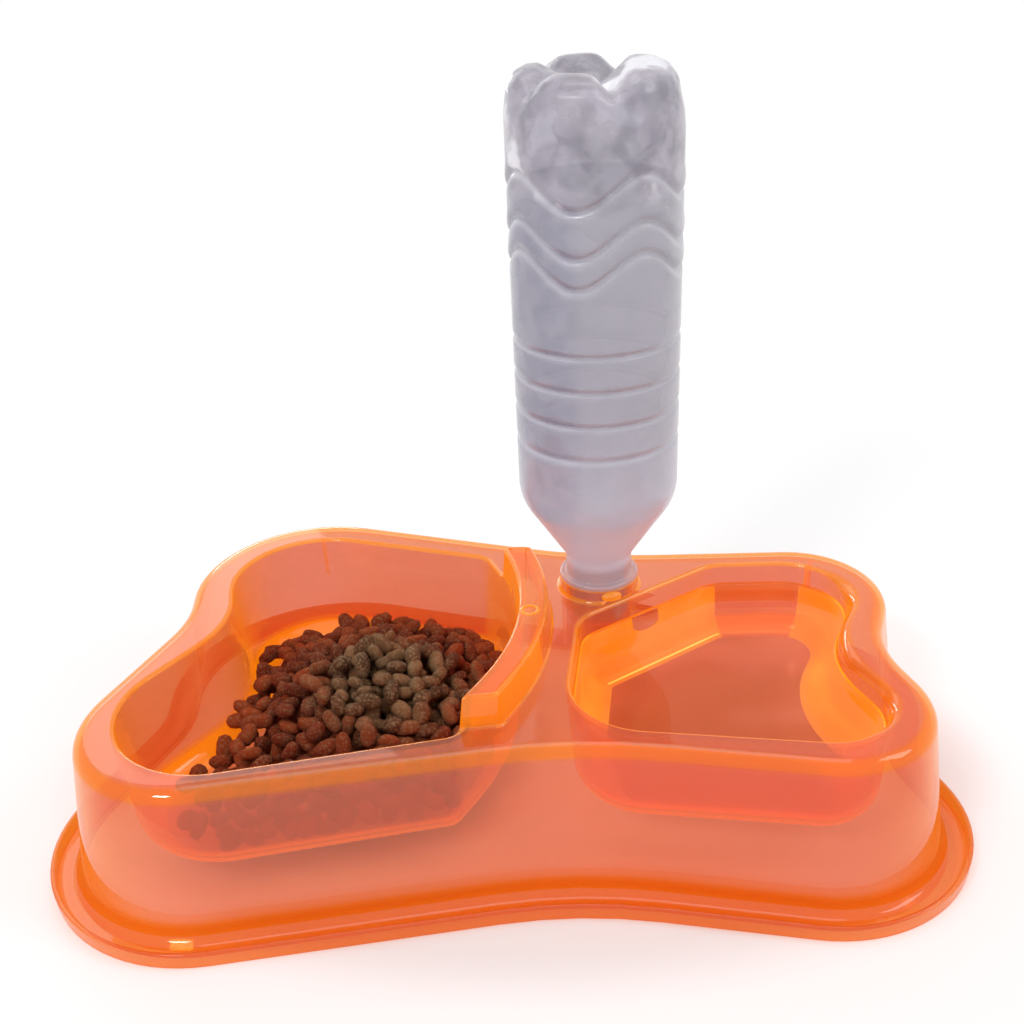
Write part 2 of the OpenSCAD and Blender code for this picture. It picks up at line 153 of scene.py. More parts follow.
class Paint:
    """A material or the world, and the methods that add nodes to it."""

    def __init__(self, owner):
        owner.use_nodes = True
        self.owner, self.tree = owner, owner.node_tree
        self.tree.nodes.clear()

    def node(self, kind, settings, values, out=0):
        """Adds a node: its settings first, then each socket's value or link, and gives one output."""
        new = self.tree.nodes.new(kind)
        for name, value in settings.items():
            setattr(new, name, value)
        for key, value in values.items():
            if isinstance(value, Wire):
                self.tree.links.new(value.socket, new.inputs[key])
            else:
                new.inputs[key].default_value = value
        return Wire(self, new.outputs[out])

    def colour(self, factor, low, high):
        """A colour between two others."""
        settings = {"data_type": "RGBA"}
        return self.node("ShaderNodeMix", settings, {"Factor": factor, 6: low, 7: high}, out=2)

    def place(self):
        """The point's own place on the object, in metres."""
        return self.node("ShaderNodeTexCoord", {}, {}, out="Object")

    def along(self, axis):
        """One coordinate of that place."""
        return self.node("ShaderNodeSeparateXYZ", {}, {"Vector": self.place()}, out=axis)

    def noise(self, scale, detail=2.0):
        values = {"Vector": self.place(), "Scale": scale, "Detail": detail}
        return self.node("ShaderNodeTexNoise", {}, values)

    def cells(self, scale, piece):
        """Distance to the nearest of many random points, scale of them along the piece's box.

        The place in that box runs from 0 to 1: (the object's place - low corner) / size."""
        corners = np.zeros(len(piece.data.vertices) * 3)
        piece.data.vertices.foreach_get("co", corners)
        low, size = corners.reshape(-1, 3).min(0), np.ptp(corners.reshape(-1, 3), 0)
        values = {0: self.place(), 1: (1 / size).tolist(), 2: (-low / size).tolist()}
        in_box = self.node("ShaderNodeVectorMath", {"operation": "MULTIPLY_ADD"}, values)
        values = {"Vector": in_box, "Scale": scale, "Randomness": 1.0}
        return self.node("ShaderNodeTexVoronoi", {}, values, out="Distance")

    def attribute(self, name):
        return self.node("ShaderNodeAttribute", {"attribute_name": name}, {}, out="Fac")

    def facing(self):
        """How far the wall is turned from the eye: 0 met head-on and 1 edge-on, on both its sides."""
        return self.node("ShaderNodeLayerWeight", {}, {"Blend": 0.5}, out="Facing")

    def ray(self, *kinds):
        """1 for these kinds of ray and 0 for the others."""
        flags = [self.node("ShaderNodeLightPath", {}, {}, out=f"Is {kind} Ray") for kind in kinds]
        return sum(flags[1:], flags[0]).clamp()

    def bump(self, height, strength, distance):
        values = {"Height": height, "Strength": strength, "Distance": distance}
        return self.node("ShaderNodeBump", {}, values)

    def window(self, tint):
        """Clear, and straight through."""
        return self.node("ShaderNodeBsdfTransparent", {}, {"Color": tint})

    def solid(self, colour, roughness, shine=0.0, **values):
        """What isn't clear: shine is the Specular IOR Level, 0 where a coat lies over it."""
        values = {"Base Color": colour, "Roughness": roughness, "Specular IOR Level": shine, **values}
        return self.node("ShaderNodeBsdfPrincipled", {}, values)

    def dye_and_painted_glow(self, colour, roughness, glow, skin):
        """Dye or mist in a clear wall with a painted glow, an emission standing in for light; two fifths of
        it lets light through.
        """
        values = {"Normal": skin, "Emission Color": glow, "Emission Strength": 1.0}
        through = self.node("ShaderNodeBsdfTranslucent", {}, {"Color": colour})
        return self.blend(0.4, self.solid(colour, roughness, **values), through)

    def blend(self, factor, first, second):
        """A Mix Shader of two shaders."""
        return self.node("ShaderNodeMixShader", {}, {0: factor, 1: first, 2: second})

    def coat(self, wall, facing, roughness, head_on=0.04, edge_on=0.7, **values):
        """A clear gloss over a see-through wall. Its share grows with the fourth power of the slant.

        A Fresnel node would turn each wall's far side into a full mirror beyond 45 degrees."""
        values = {"Color": WHITE, "Roughness": roughness, **values}
        gloss = self.node("ShaderNodeBsdfGlossy", {}, values)
        return self.blend((facing ** 4.0) * (edge_on - head_on) + head_on, wall, gloss)

    def done(self, surface, shadow_tint=None, output="ShaderNodeOutputMaterial"):
        """Ends the tree. Light on its way from a lamp sees only the shadow tint, where one is given."""
        if shadow_tint:
            surface = self.blend(self.ray("Shadow"), surface, self.window(shadow_tint))
        end = self.tree.nodes.new(output)
        self.tree.links.new(surface.socket, end.inputs["Surface"])
        return self.owner


def new_paint(name):
    """Paint on a new material. Its glow isn't sampled as a lamp, which would make the render slow."""
    material = bpy.data.materials.new(name)
    material.cycles.emission_sampling = "NONE"
    return Paint(material)

# %% [markdown]
# ## Surfaces from numpy
#
# Every new piece is a grid of points worked out as one array. Two kinds are used here: a loft,
# where an outline seen from above is grown or shrunk ring by ring up a section, and a lathe, where
# a profile turns round an axis and may also change with the angle.

# %% Rounded paths: corners with a radius become arcs


def corner_frame(corners):
    """What both functions below need at each corner: its place and radius, the unit vector back to
    the corner before, half its angle, the side to which the path turns, and the inward bisector."""
    corners = np.asarray(corners, float)
    place, radius = corners[:, :2], corners[:, 2]
    back = np.roll(place, 1, 0) - place
    front = np.roll(place, -1, 0) - place
    back = back / np.linalg.norm(back, axis=1, keepdims=True)
    front = front / np.linalg.norm(front, axis=1, keepdims=True)
    half = np.arccos(np.clip((back * front).sum(1), -1, 1)) / 2
    turn = np.sign(-back[:, 0] * front[:, 1] + back[:, 1] * front[:, 0])
    inward = back + front
    return place, radius, back, half, turn, inward / np.linalg.norm(inward, axis=1, keepdims=True)


def rounded_path(corners, closed, step_deg):
    """Points on a path of straight lines with round corners.

    corners is rows of x, y and radius. Each corner's arc touches both of its lines, so its centre
    lies on the bisector at radius / sin(half the corner's angle)."""
    place, radius, back, half, turn, inward = corner_frame(corners)
    points = []
    for i in range(len(place)):
        is_end = not closed and i in (0, len(place) - 1)
        if is_end or radius[i] <= 0:
            points.append(place[i : i + 1])
            continue
        centre = place[i] + inward[i] * radius[i] / math.sin(half[i])
        start = place[i] + back[i] * radius[i] / math.tan(half[i]) - centre
        sweep = (math.pi - 2 * half[i]) * turn[i]
        count = max(2, math.ceil(abs(math.degrees(sweep)) / step_deg))
        angle = math.atan2(start[1], start[0]) + sweep * np.linspace(0, 1, count + 1)
        points.append(centre + radius[i] * np.stack([np.cos(angle), np.sin(angle)], 1))
    return np.concatenate(points)


def grown(corners, distance, least=1.5):
    """The same corners with every line moved outwards by distance, and no radius below least.

    Each corner slides along its bisector by distance / sin(half the corner's angle)."""
    place, radius, _, half, turn, inward = corner_frame(corners)
    moved = place - (turn * distance / np.sin(half))[:, None] * inward
    return np.column_stack([moved, np.maximum(radius + turn * distance, least)])


def headings(angle_deg):
    """The level unit vector at an angle from +X, and the one a quarter turn to its left."""
    angle = math.radians(angle_deg)
    return np.array([math.cos(angle), math.sin(angle)]), np.array([-math.sin(angle), math.cos(angle)])

# %% Meshes from grids


def grid_faces(rows, columns):
    """Corner numbers of the four-sided faces between neighbouring rings of a grid of points."""
    row, column = np.mgrid[0 : rows - 1, 0:columns]
    after = (column + 1) % columns
    corners = [row * columns + column, row * columns + after]
    corners += [(row + 1) * columns + after, (row + 1) * columns + column]
    return np.stack(corners, -1).reshape(-1, 4)


def closed_faces(rows, columns):
    """The same faces, and a flat one over each end."""
    first = np.arange(columns)
    last = first + (rows - 1) * columns
    return grid_faces(rows, columns).tolist() + [first[::-1].tolist(), last.tolist()]


def new_object(name, points_mm, faces):
    """An object at the origin whose mesh has these points, given in millimetres."""
    mesh = bpy.data.meshes.new(name)
    mesh.from_pydata((np.asarray(points_mm) * MM).tolist(), [], [list(map(int, f)) for f in faces])
    mesh.validate()
    mesh.update()
    made = bpy.data.objects.new(name, mesh)
    bpy.context.collection.objects.link(made)
    return made


def loft(name, corners, section, step_deg=5.0):
    """A closed solid through one ring for each offset and height of the section, with flat ends."""
    rings = [rounded_path(grown(corners, offset), True, step_deg) for offset, _ in section]
    levels = [np.full(len(ring), z) for ring, (_, z) in zip(rings, section)]
    points = np.stack([np.column_stack(pair) for pair in zip(rings, levels)])
    return new_object(name, points.reshape(-1, 3), closed_faces(*points.shape[:2]))


def full_turn(sides):
    """Evenly spaced angles round a circle."""
    return np.linspace(0, 2 * np.pi, sides, endpoint=False)


def turned(profile, centre, angle):
    """Each radius and height of the profile makes one ring: centre + radius times (cosine, sine)."""
    radius, height = np.asarray(profile, float).T
    x = centre[0] + radius[:, None] * np.cos(angle)
    y = centre[1] + radius[:, None] * np.sin(angle)
    return np.stack([x, y, np.broadcast_to(height[:, None], x.shape)], -1)


def lathe(name, profile, centre, sides=96):
    """A closed solid of revolution."""
    points = turned(profile, centre, full_turn(sides))
    return new_object(name, points.reshape(-1, 3), closed_faces(len(points), sides))


def inside(points, ring):
    """True for each point that lies inside the closed ring: an odd number of its edges lie to the right."""
    x, y = points[:, :1], points[:, 1:2]
    x0, y0 = ring[:, 0], ring[:, 1]
    x1, y1 = np.roll(x0, -1), np.roll(y0, -1)
    crosses = ((y0 > y) != (y1 > y)) & (x < (x1 - x0) * (y - y0) / (y1 - y0 + 1e-12) + x0)
    return crosses.sum(1) % 2 == 1


def face_directions(mesh):
    """Each face's normal, and its centre in millimetres."""
    normal, centre = (np.zeros(len(mesh.polygons) * 3) for _ in range(2))
    mesh.polygons.foreach_get("normal", normal)
    mesh.polygons.foreach_get("center", centre)
    return normal.reshape(-1, 3), centre.reshape(-1, 3) / MM


def write_marks(mesh, domain, **marks):
    """Stores one number for each face or point under each name, for the materials to read."""
    for name, values in marks.items():
        layer = mesh.attributes.new(name, "FLOAT", domain)
        layer.data.foreach_set("value", np.ravel(values))


def shade(piece, crisp_deg):
    """Smooth shading, kept crisp where two faces meet at more than the angle."""
    piece.data.shade_smooth()
    piece.data.set_sharp_from_angle(angle=math.radians(crisp_deg))
    return piece


def combine(base, tool, operation):
    """Adds, cuts or keeps the overlap of two closed solids, and deletes the second."""
    cut = base.modifiers.new("cut", "BOOLEAN")
    cut.solver = "MANIFOLD"
    cut.operation = operation
    cut.object = tool
    bpy.context.view_layer.update()
    graph = bpy.context.evaluated_depsgraph_get()
    mesh = bpy.data.meshes.new_from_object(base.evaluated_get(graph))
    base.modifiers.clear()
    old = base.data
    base.data = mesh
    bpy.data.meshes.remove(old)
    bpy.data.objects.remove(tool)
    return base

# %% [markdown]
# ## The tray's measures
#
# The outline is eight corners, four of them turning inwards: the waists of the bone. Everything
# else on the tray is this outline moved in or out: the lip, the channel, the skirt, the deck's
# edge and the rim round the bowls.

# %% Name the tray's measures, in millimetres
DECK_L, FOOD_END_W, WATER_END_W, WAIST_W = 320.0, 199.0, 152.0, 143.0
TRAY_H, WALL, SKIRT_DRAFT, DECK_EDGE_R = 64.0, 2.0, 8.0, 6.5
MOAT_W, LIP_H, SKIRT_ROOT_R, RIM_W = 8.7, 7.2, 5.0, 14.0
FOOD_DEPTH, WATER_DEPTH, BOWL_DRAFT, BOWL_ROOT_R, BOWL_EDGE_R = 49.0, 46.0, 4.0, 12.0, 2.0
WATER_LEFT_X, WATER_BACK_X, GUARD_ENDS_X, WIDE_EDGE_R = 24.0, 84.2, -15.3, 5.5
GUARD_H, GUARD_W, GUARD_R, GUARD_X, GUARD_Y, GUARD_HALF = 14.0, 11.6, 113.0, 4.0, 3.0, 26.0
SOCKET = np.array([35.8, 42.2])
COLLAR_H, NECK_RING_R, NECK_RING_T, FINISH_L = 5.5, 16.5, 2.2, 18.0
SOCKET_R, SOCKET_SUMP, PASSAGE_W, PASSAGE_L, PASSAGE_DEG = 14.1, 13.0, 12.4, 34.0, -22.0
RIB_T, RIB_H = 1.8, 36.0

SKIRT_TOP = TRAY_H - DECK_EDGE_R
SLOPE = math.tan(math.radians(SKIRT_DRAFT))
BOWL_SLOPE = math.tan(math.radians(BOWL_DRAFT))
FLOOR_T = WALL + 0.2
LIP_OUT = SKIRT_TOP * SLOPE + MOAT_W + WALL
RING_Z = TRAY_H + COLLAR_H
FOOD_FLOOR, WATER_FLOOR = TRAY_H - FOOD_DEPTH, TRAY_H - WATER_DEPTH
SOCKET_FLOOR = RING_Z - FINISH_L - SOCKET_SUMP
PASSAGE_ROOF = TRAY_H - 4

deck = np.array(
    [
        [-DECK_L / 2 - 22.5, -FOOD_END_W / 2 - 16.2, 44.3],
        [28.8, -WAIST_W / 2 + 3, 190],
        [DECK_L / 2 + 21.4, -WATER_END_W / 2 - 11.8, 38.6],
        [DECK_L / 2 - 12.9, -1.2, 51.7],
        [DECK_L / 2 + 6.9, WATER_END_W / 2 - 0.4, 37.7],
        [31.4, WAIST_W / 2 - 1, 200],
        [-DECK_L / 2 + 4.9, FOOD_END_W / 2 + 19.4, 54.7],
        [-DECK_L / 2 + 21.3, 16, 60.2],
    ]
)
rim = grown(deck, -RIM_W)
GUARD_CENTRE = np.array([GUARD_X - GUARD_R, GUARD_Y])


def edge_y(corners, i, x):
    """Where the line from corner i to the next one crosses a given x."""
    a, b = corners[i], corners[(i + 1) % len(corners)]
    return a[1] + (b[1] - a[1]) * (x - a[0]) / (b[0] - a[0])


food = np.array(
    [
        rim[0] + [-25.6, -11.9, 7.7],
        [GUARD_ENDS_X, edge_y(rim, 0, GUARD_ENDS_X) + 0.5, 9],
        [GUARD_CENTRE[0] + GUARD_R / math.cos(math.radians(GUARD_HALF)), GUARD_Y, GUARD_R],
        [GUARD_ENDS_X, edge_y(rim, 5, GUARD_ENDS_X) - 3, 10],
        rim[6] + [-0.7, -3.2, -3.9],
        rim[7] + [7.2, -4.2, -26.8],
    ]
)
water = np.array(
    [
        [WATER_LEFT_X, edge_y(rim, 1, WATER_LEFT_X) - 3, 30],
        rim[2] + [-1, 2.6, -1],
        rim[3] + [-5.2, -1.1, -20],
        rim[4] + [4.4, 0, 2.8],
        [WATER_BACK_X, edge_y(rim, 4, WATER_BACK_X) - 0.5, 21],
        [WATER_LEFT_X + 4.2, SOCKET[1] - 27.7, 15.8],
    ]
)
print("food bowl corners", food.round(1).tolist())

# %% [markdown]
# ## The tray's shell
#
# A moulded shell has the same wall all round and a small radius on every edge, and see-through
# plastic shows each of them. The solids are lofted finely and then added and cut with the
# manifold boolean, in the order in which the mould would make them: the skirt and deck, the bowls
# hung from it, the guard, the socket and the passage between socket and bowl.

# %% Sections of the tray, as offset, height and radius


def skirt_offset(z):
    """How far the skirt stands outside the outline at a height: it leans out towards the foot."""
    return (SKIRT_TOP - z) * SLOPE


def outer_section():
    """The outside, from the foot up over the lip, through the channel and up to the deck."""
    corners = [
        [LIP_OUT - 5, 0, 0],
        [LIP_OUT, 0, 0.9],
        [LIP_OUT + 0.4, LIP_H, 0.9],
        [LIP_OUT + 0.4 - 1.9, LIP_H, 0.9],
        [LIP_OUT - 0.4 - WALL, FLOOR_T, 1.8],
        [skirt_offset(FLOOR_T), FLOOR_T, SKIRT_ROOT_R],
        [skirt_offset(TRAY_H), TRAY_H, DECK_EDGE_R],
        [-DECK_EDGE_R - 6, TRAY_H, 0],
    ]
    return rounded_path(corners, False, 11.0)


def inner_section():
    """The inside, open at the foot, a wall's thickness behind the outside."""
    corners = [
        [skirt_offset(0) + 2.5, -1, 0],
        [skirt_offset(0) + 2.5, 0.3, 0.6],
        [skirt_offset(4) + 0.3 - WALL, 4, 5],
        [skirt_offset(TRAY_H - WALL) - WALL, TRAY_H - WALL, DECK_EDGE_R - WALL],
        [-DECK_EDGE_R - 6, TRAY_H - WALL, 0],
    ]
    return rounded_path(corners, False, 11.0)


def bowl_section(floor_z, extra):
    """A bowl's wall from its floor upwards. extra makes it the outside, one wall further out."""
    depth = TRAY_H - floor_z
    corners = [
        [-depth * BOWL_SLOPE - BOWL_ROOT_R - 0.5, floor_z - extra, 0],
        [-depth * BOWL_SLOPE + extra, floor_z - extra, BOWL_ROOT_R + extra],
        [extra, TRAY_H - (WALL / 2 if extra else BOWL_EDGE_R), 0],
    ]
    return rounded_path(corners, False, 9.0)


def edge_round(offset, top_z, radius, steps=6):
    """A quarter round that lets a wall run out into the flat above it."""
    angle = np.linspace(np.pi, np.pi / 2, steps + 1)
    across = offset + radius + radius * np.cos(angle)
    return np.column_stack([across, top_z - radius + radius * np.sin(angle)])

# %% Build the skirt, the deck and the bowls
tray = loft("tray_shell", deck, outer_section())
combine(tray, loft("inside", deck, inner_section()), "DIFFERENCE")


def rib(x, y, angle_deg):
    """A thin upright rib from a bowl's wall to the skirt, cut back towards the foot."""
    low, high = TRAY_H - RIB_H, TRAY_H - WALL / 2
    side = [[-5, low], [0.5, low], [RIM_W - 4, high], [-5, high]]
    along, across = headings(angle_deg)
    foot = np.array([x, y])
    points = [[*(foot + u * along + s * RIB_T / 2 * across), z] for s in (-1, 1) for u, z in side]
    faces = [[0, 1, 2, 3], [7, 6, 5, 4], [0, 4, 5, 1], [1, 5, 6, 2], [2, 6, 7, 3], [3, 7, 4, 0]]
    return new_object("rib", points, faces)


rib_places = [
    [-DECK_L / 2 + 41, -FOOD_END_W / 2 + 23.7, 234],
    [-DECK_L / 2 + 69, FOOD_END_W / 2 - 21.3, 108],
    [DECK_L / 2 - 39, -WATER_END_W / 2 + 18.2, 285],
    [DECK_L / 2 - 35, WATER_END_W / 2 - 20.7, 70],
]
for x, y, angle_deg in rib_places:
    combine(tray, rib(x, y, angle_deg), "UNION")
combine(tray, loft("food_outside", food, bowl_section(FOOD_FLOOR, WALL)), "UNION")
combine(tray, loft("water_outside", water, bowl_section(WATER_FLOOR, WALL)), "UNION")
collar_top = [
    [NECK_RING_R + 3.0, TRAY_H, 0],
    [NECK_RING_R + 0.3, TRAY_H, 1.8],
    [NECK_RING_R, RING_Z, 0.5],
    [NECK_RING_R - 1.5, RING_Z, 0],
]
collar = [
    [SOCKET_R + WALL, SOCKET_FLOOR - WALL],
    [SOCKET_R + WALL, TRAY_H - WALL],
    [NECK_RING_R + 3.0, TRAY_H - 1],
    *rounded_path(collar_top, False, 15.0),
]
combine(tray, lathe("collar", collar, SOCKET), "UNION")


def bowl_cutter(name, corners, floor_z):
    """The room inside a bowl, with the round of its upper edge, run out above the deck."""
    upper = [edge_round(0, TRAY_H, BOWL_EDGE_R)[1:], [[BOWL_EDGE_R, TRAY_H + 1]]]
    return loft(name, corners, np.concatenate([bowl_section(floor_z, 0), *upper]))


combine(tray, bowl_cutter("food_inside", food, FOOD_FLOOR), "DIFFERENCE")

# %% Build the guard between the bowls
GUARD_TOP = TRAY_H + GUARD_H


def triangulated(piece):
    """Splits every face into triangles, so that a boolean leaves no face with a hole in it."""
    work = bmesh.new()
    work.from_mesh(piece.data)
    bmesh.ops.triangulate(work, faces=work.faces[:])
    work.to_mesh(piece.data)
    work.free()
    return piece


def guard_corners():
    """The guard from above: two arcs about one centre, with short straight ends tangent to them."""

    def end(radius, spread_deg, length, side):
        a = math.radians(spread_deg)
        start = GUARD_CENTRE + radius * np.array([math.cos(a), side * math.sin(a)])
        return start + length * np.array([-math.sin(a), side * math.cos(a)])

    def crown(radius, spread_deg):
        return [GUARD_CENTRE[0] + radius / math.cos(math.radians(spread_deg)), GUARD_Y, radius]

    inner, outer = GUARD_R - 1.0, GUARD_R + GUARD_W + 1.2
    return np.array(
        [
            [*end(inner, GUARD_HALF, 17, -1), 2.0],
            [*end(outer, GUARD_HALF - 2, 11, -1), 4.0],
            crown(outer, GUARD_HALF - 4),
            [*end(outer, GUARD_HALF - 7, 9, 1), 6.0],
            [*end(inner, GUARD_HALF - 6, 11, 1), 4.0],
            crown(inner, GUARD_HALF - 3),
        ]
    )


guard_plan = guard_corners()
guard_wall = [
    [0.5, TRAY_H - WALL, 0],
    [2.4, TRAY_H - 0.6, 0.2],
    [0.3, TRAY_H + 0.3, 1.8],
    [-1.1, GUARD_TOP, 2.0],
    [-4, GUARD_TOP, 0],
]
guard = loft("guard", guard_plan, rounded_path(guard_wall, False, 12.0), 3.0)
bowl_side = np.array([[0, TRAY_H - WALL - 1], [0, TRAY_H - WALL], [0.8, GUARD_TOP - 1.6]])
bowl_side = np.concatenate([bowl_side, edge_round(0.8, GUARD_TOP, 1.6)[1:], [[2.4, GUARD_TOP + 1]]])
combine(guard, loft("bowl_side", food, bowl_side), "DIFFERENCE")
combine(tray, triangulated(guard), "UNION")


def passage(name, extra, roof):
    """The water's way from the socket into the bowl, under the deck: a tunnel with a round bottom."""
    half = np.linspace(np.pi, 2 * np.pi, 17)
    radius = PASSAGE_W / 2 + extra
    low = SOCKET_FLOOR + 0.5 + PASSAGE_W / 2
    ring = np.column_stack([radius * np.cos(half), low + radius * np.sin(half)])
    ring = np.concatenate([ring, [[radius, roof], [-radius, roof]]])
    along, across = headings(PASSAGE_DEG)
    ends = []
    for length in (0.0, PASSAGE_L):
        plan = SOCKET + length * along + ring[:, :1] * across
        ends.append(np.column_stack([plan, ring[:, 1]]))
    return new_object(name, np.concatenate(ends), closed_faces(2, len(ring)))


combine(tray, passage("passage_outside", WALL, PASSAGE_ROOF + WALL), "UNION")

# %% [markdown]
# ## Small marks of the mould
#
# A smooth lug on the collar shows where the neck ring sits, and a low ring on the guard is what
# the gate left, where the plastic was pressed in. Both are tiny, but they catch the light, so
# they are real shapes: a stretched ball and a turned ring, added to the shell.

# %% Add the lug and the gate ring
LUG_HALF = np.array([4.3, 2.1])
LUG_DROP = 2.3
LUG_OUT, LUG_SIDE = headings(-71)
LUG = SOCKET + (NECK_RING_R + 0.2) * LUG_OUT


def lug(sides=24, rows=14):
    """A ball stretched along the collar: across by cos v cos u, outwards by cos v sin u, up by sin v."""
    u, v = np.meshgrid(full_turn(sides), np.linspace(-0.499, 0.499, rows) * np.pi)
    x = LUG_HALF[0] * np.cos(v) * np.cos(u)
    y = LUG_HALF[1] * np.cos(v) * np.sin(u)
    plan = LUG + x[..., None] * -LUG_SIDE + y[..., None] * LUG_OUT
    z = RING_Z - LUG_DROP + LUG_HALF[1] * np.sin(v)
    points = np.concatenate([plan, z[..., None]], -1)
    return new_object("lug", points.reshape(-1, 3), closed_faces(rows, sides))


combine(tray, lug(), "UNION")
GATE = np.array([9.0, -1.3])
gate_ring = [[4.3, -0.5], [3.9, 0.2], [3.2, 0.5], [2.7, 0.35], [2.6, -0.3]]
gate_ring = [[radius, GUARD_TOP + rise] for radius, rise in gate_ring]
combine(tray, lathe("gate_ring", gate_ring, GATE, 40), "UNION")

# %% Hollow the guard and cut the water's way
hollow_section = [
    [-WALL, TRAY_H - 2 * WALL, 0],
    [-0.4 - WALL, TRAY_H, 0],
    [-1.3 - WALL, GUARD_TOP - WALL, 1],
    [-4.4, GUARD_TOP - WALL, 0],
]
hollow = loft("hollow", guard_plan, rounded_path(hollow_section, False, 20.0))
bowl_wall = [[0, TRAY_H - 30], [0, TRAY_H - WALL], [0.8, GUARD_TOP]]
combine(hollow, loft("bowl_wall", grown(food, WALL), bowl_wall), "DIFFERENCE")
combine(tray, hollow, "DIFFERENCE")
combine(tray, bowl_cutter("water_inside", water, WATER_FLOOR), "DIFFERENCE")


def wide_edge(radius):
    """The rounder upper edge at the water end: a wide round whose other sides stay inside the bowl."""
    low, high = [[-radius, TRAY_H - 2 * radius - 3]], [[radius, TRAY_H + 1]]
    section = np.concatenate([low, edge_round(0, TRAY_H, radius, 12), high])
    cutter = loft("wide_edge", grown(water, -radius), section)
    cutter.data.transform(Matrix.Translation((radius * MM, 0, 0)))
    return cutter


combine(tray, wide_edge(WIDE_EDGE_R), "DIFFERENCE")
pocket = [[SOCKET_R, SOCKET_FLOOR], [SOCKET_R, RING_Z - 0.6], [SOCKET_R + 0.8, RING_Z + 1]]
combine(tray, lathe("pocket", pocket, SOCKET), "DIFFERENCE")
combine(tray, passage("passage_inside", 0.0, PASSAGE_ROOF), "DIFFERENCE")
print("tray", len(tray.data.vertices), "points", len(tray.data.polygons), "faces")

# %% [markdown]
# ## Where the plastic bends
#
# Light is trapped inside a dyed clear plastic and leaves it where the wall bends, so the edges
# and the roots of the bowls glow in a deeper orange than the flats. The material paints that light
# in: a painted glow, a deeper orange and an amber painted highlight on sharp edges. Three numbers on
# each face tell the material where that is: `bend` is high where a wall turns between upright and
# level, `edge` is high where it turns within a few millimetres, and `glow` is how much painted glow
# leaves there.

# %% Measure how fast the tray's surface turns


def turning_speed(mesh, normal, centre):
    """For each face, the largest angle to a neighbour over the distance to it, in radians per millimetre."""
    count = len(mesh.polygons)
    total = np.zeros(count, int)
    mesh.polygons.foreach_get("loop_total", total)
    edges = np.zeros(len(mesh.loops), int)
    mesh.loops.foreach_get("edge_index", edges)
    owner = np.repeat(np.arange(count), total)
    a, b = owner[np.argsort(edges, kind="stable")].reshape(-1, 2).T
    cosine = np.clip((normal[a] * normal[b]).sum(1), -1, 1)
    turning = np.arccos(cosine) / np.maximum(np.linalg.norm(centre[a] - centre[b], axis=1), 0.3)
    speed = np.zeros(count)
    np.maximum.at(speed, a, turning)
    np.maximum.at(speed, b, turning)
    return speed

# %% Mark the bends on the tray's faces


def mark_bends(piece):
    """Writes bend, edge and glow on the faces: bend from the slope, edge from the turning speed.

    glow is the bend, and a quarter of it near the deck: the strength of the painted glow. The guard,
    the ribs, the passage, the lip, the lug and the gate ring are then given values of their own,
    which set their painted glow and amber painted edge highlight. marks has a row for each of the
    three, in that order."""
    mesh = piece.data
    normal, centre = face_directions(mesh)
    plan, height, slope = centre[:, :2], centre[:, 2], np.abs(normal[:, 2])
    bend = np.clip((slope - 0.16) / 0.25, 0, 1) * np.clip((0.995 - slope) / 0.06, 0, 1)
    edge = np.clip((turning_speed(mesh, normal, centre) - 0.12) / 0.4, 0, 1) * (bend > 0)
    marks = np.stack([bend, edge, bend * np.where(height > TRAY_H - 10, 0.25, 1.0)])

    on_guard = (height > TRAY_H + 0.6) & (plan[:, 0] < SOCKET[0] - 22)
    on_side = on_guard & (slope < 0.9)
    # Painted glow: the guard's top and sides get glow of their own, the sides an amber painted edge
    # highlight.
    marks[::2, on_guard & ~on_side] = [[0.3], [0.25]]
    marks[::2, on_side] = [[1.0], [0.6]]
    marks[1, on_side] = np.maximum(marks[1, on_side], 0.4)

    for x, y, angle_deg in rib_places:
        out, side = headings(angle_deg)
        along, aside = (plan - [x, y]) @ out, np.abs((plan - [x, y]) @ side)
        on_rib = (aside < RIB_T / 2 + 0.2) & (along > -1) & (along < RIM_W + 3) & (height < TRAY_H - 1)
        # Painted glow: the ribs' sides glow fully.
        marks[:, on_rib & (np.abs(normal[:, :2] @ side) > 0.7)] = [[1.0], [0.5], [1.0]]

    out, side = headings(PASSAGE_DEG)
    along, aside = (plan - SOCKET) @ out, np.abs((plan - SOCKET) @ side)
    in_passage = (along > SOCKET_R) & (along < PASSAGE_L + 1) & (aside < PASSAGE_W / 2 + WALL + 0.1)
    in_passage &= (height > SOCKET_FLOOR - WALL) & (height < PASSAGE_ROOF + WALL + 0.1)
    marks[:, in_passage] = 0.0
    # Painted shade and glow: the lip and channel count as fully bent, deep orange with a little glow.
    marks[:, height < LIP_H + 0.2] = [[1.0], [0.0], [0.35]]

    from_lug, from_gate, from_socket = (np.hypot(*(plan - spot).T) for spot in (LUG, GATE, SOCKET))
    on_lug = (from_lug < 4.6) & (height > TRAY_H + 0.3) & (height < RING_Z - 0.1)
    on_lug &= from_socket > NECK_RING_R + 0.25
    on_gate = (from_gate < 4.4) & (height > GUARD_TOP + 0.05)
    # Painted highlight: the lug and the gate ring get full painted glow and the amber edge colour.
    marks[:, on_lug | on_gate] = 1.0
    write_marks(mesh, "FACE", bend=marks[0], edge=marks[1], glow=marks[2])
    return marks[:2]


bend, edge = mark_bends(tray)
weigh = shade(tray, 32.0).modifiers.new("weigh", "WEIGHTED_NORMAL")
weigh.keep_sharp = True
print("bending faces", int((bend > 0.5).sum()), "edge faces", int((edge > 0.5).sum()))
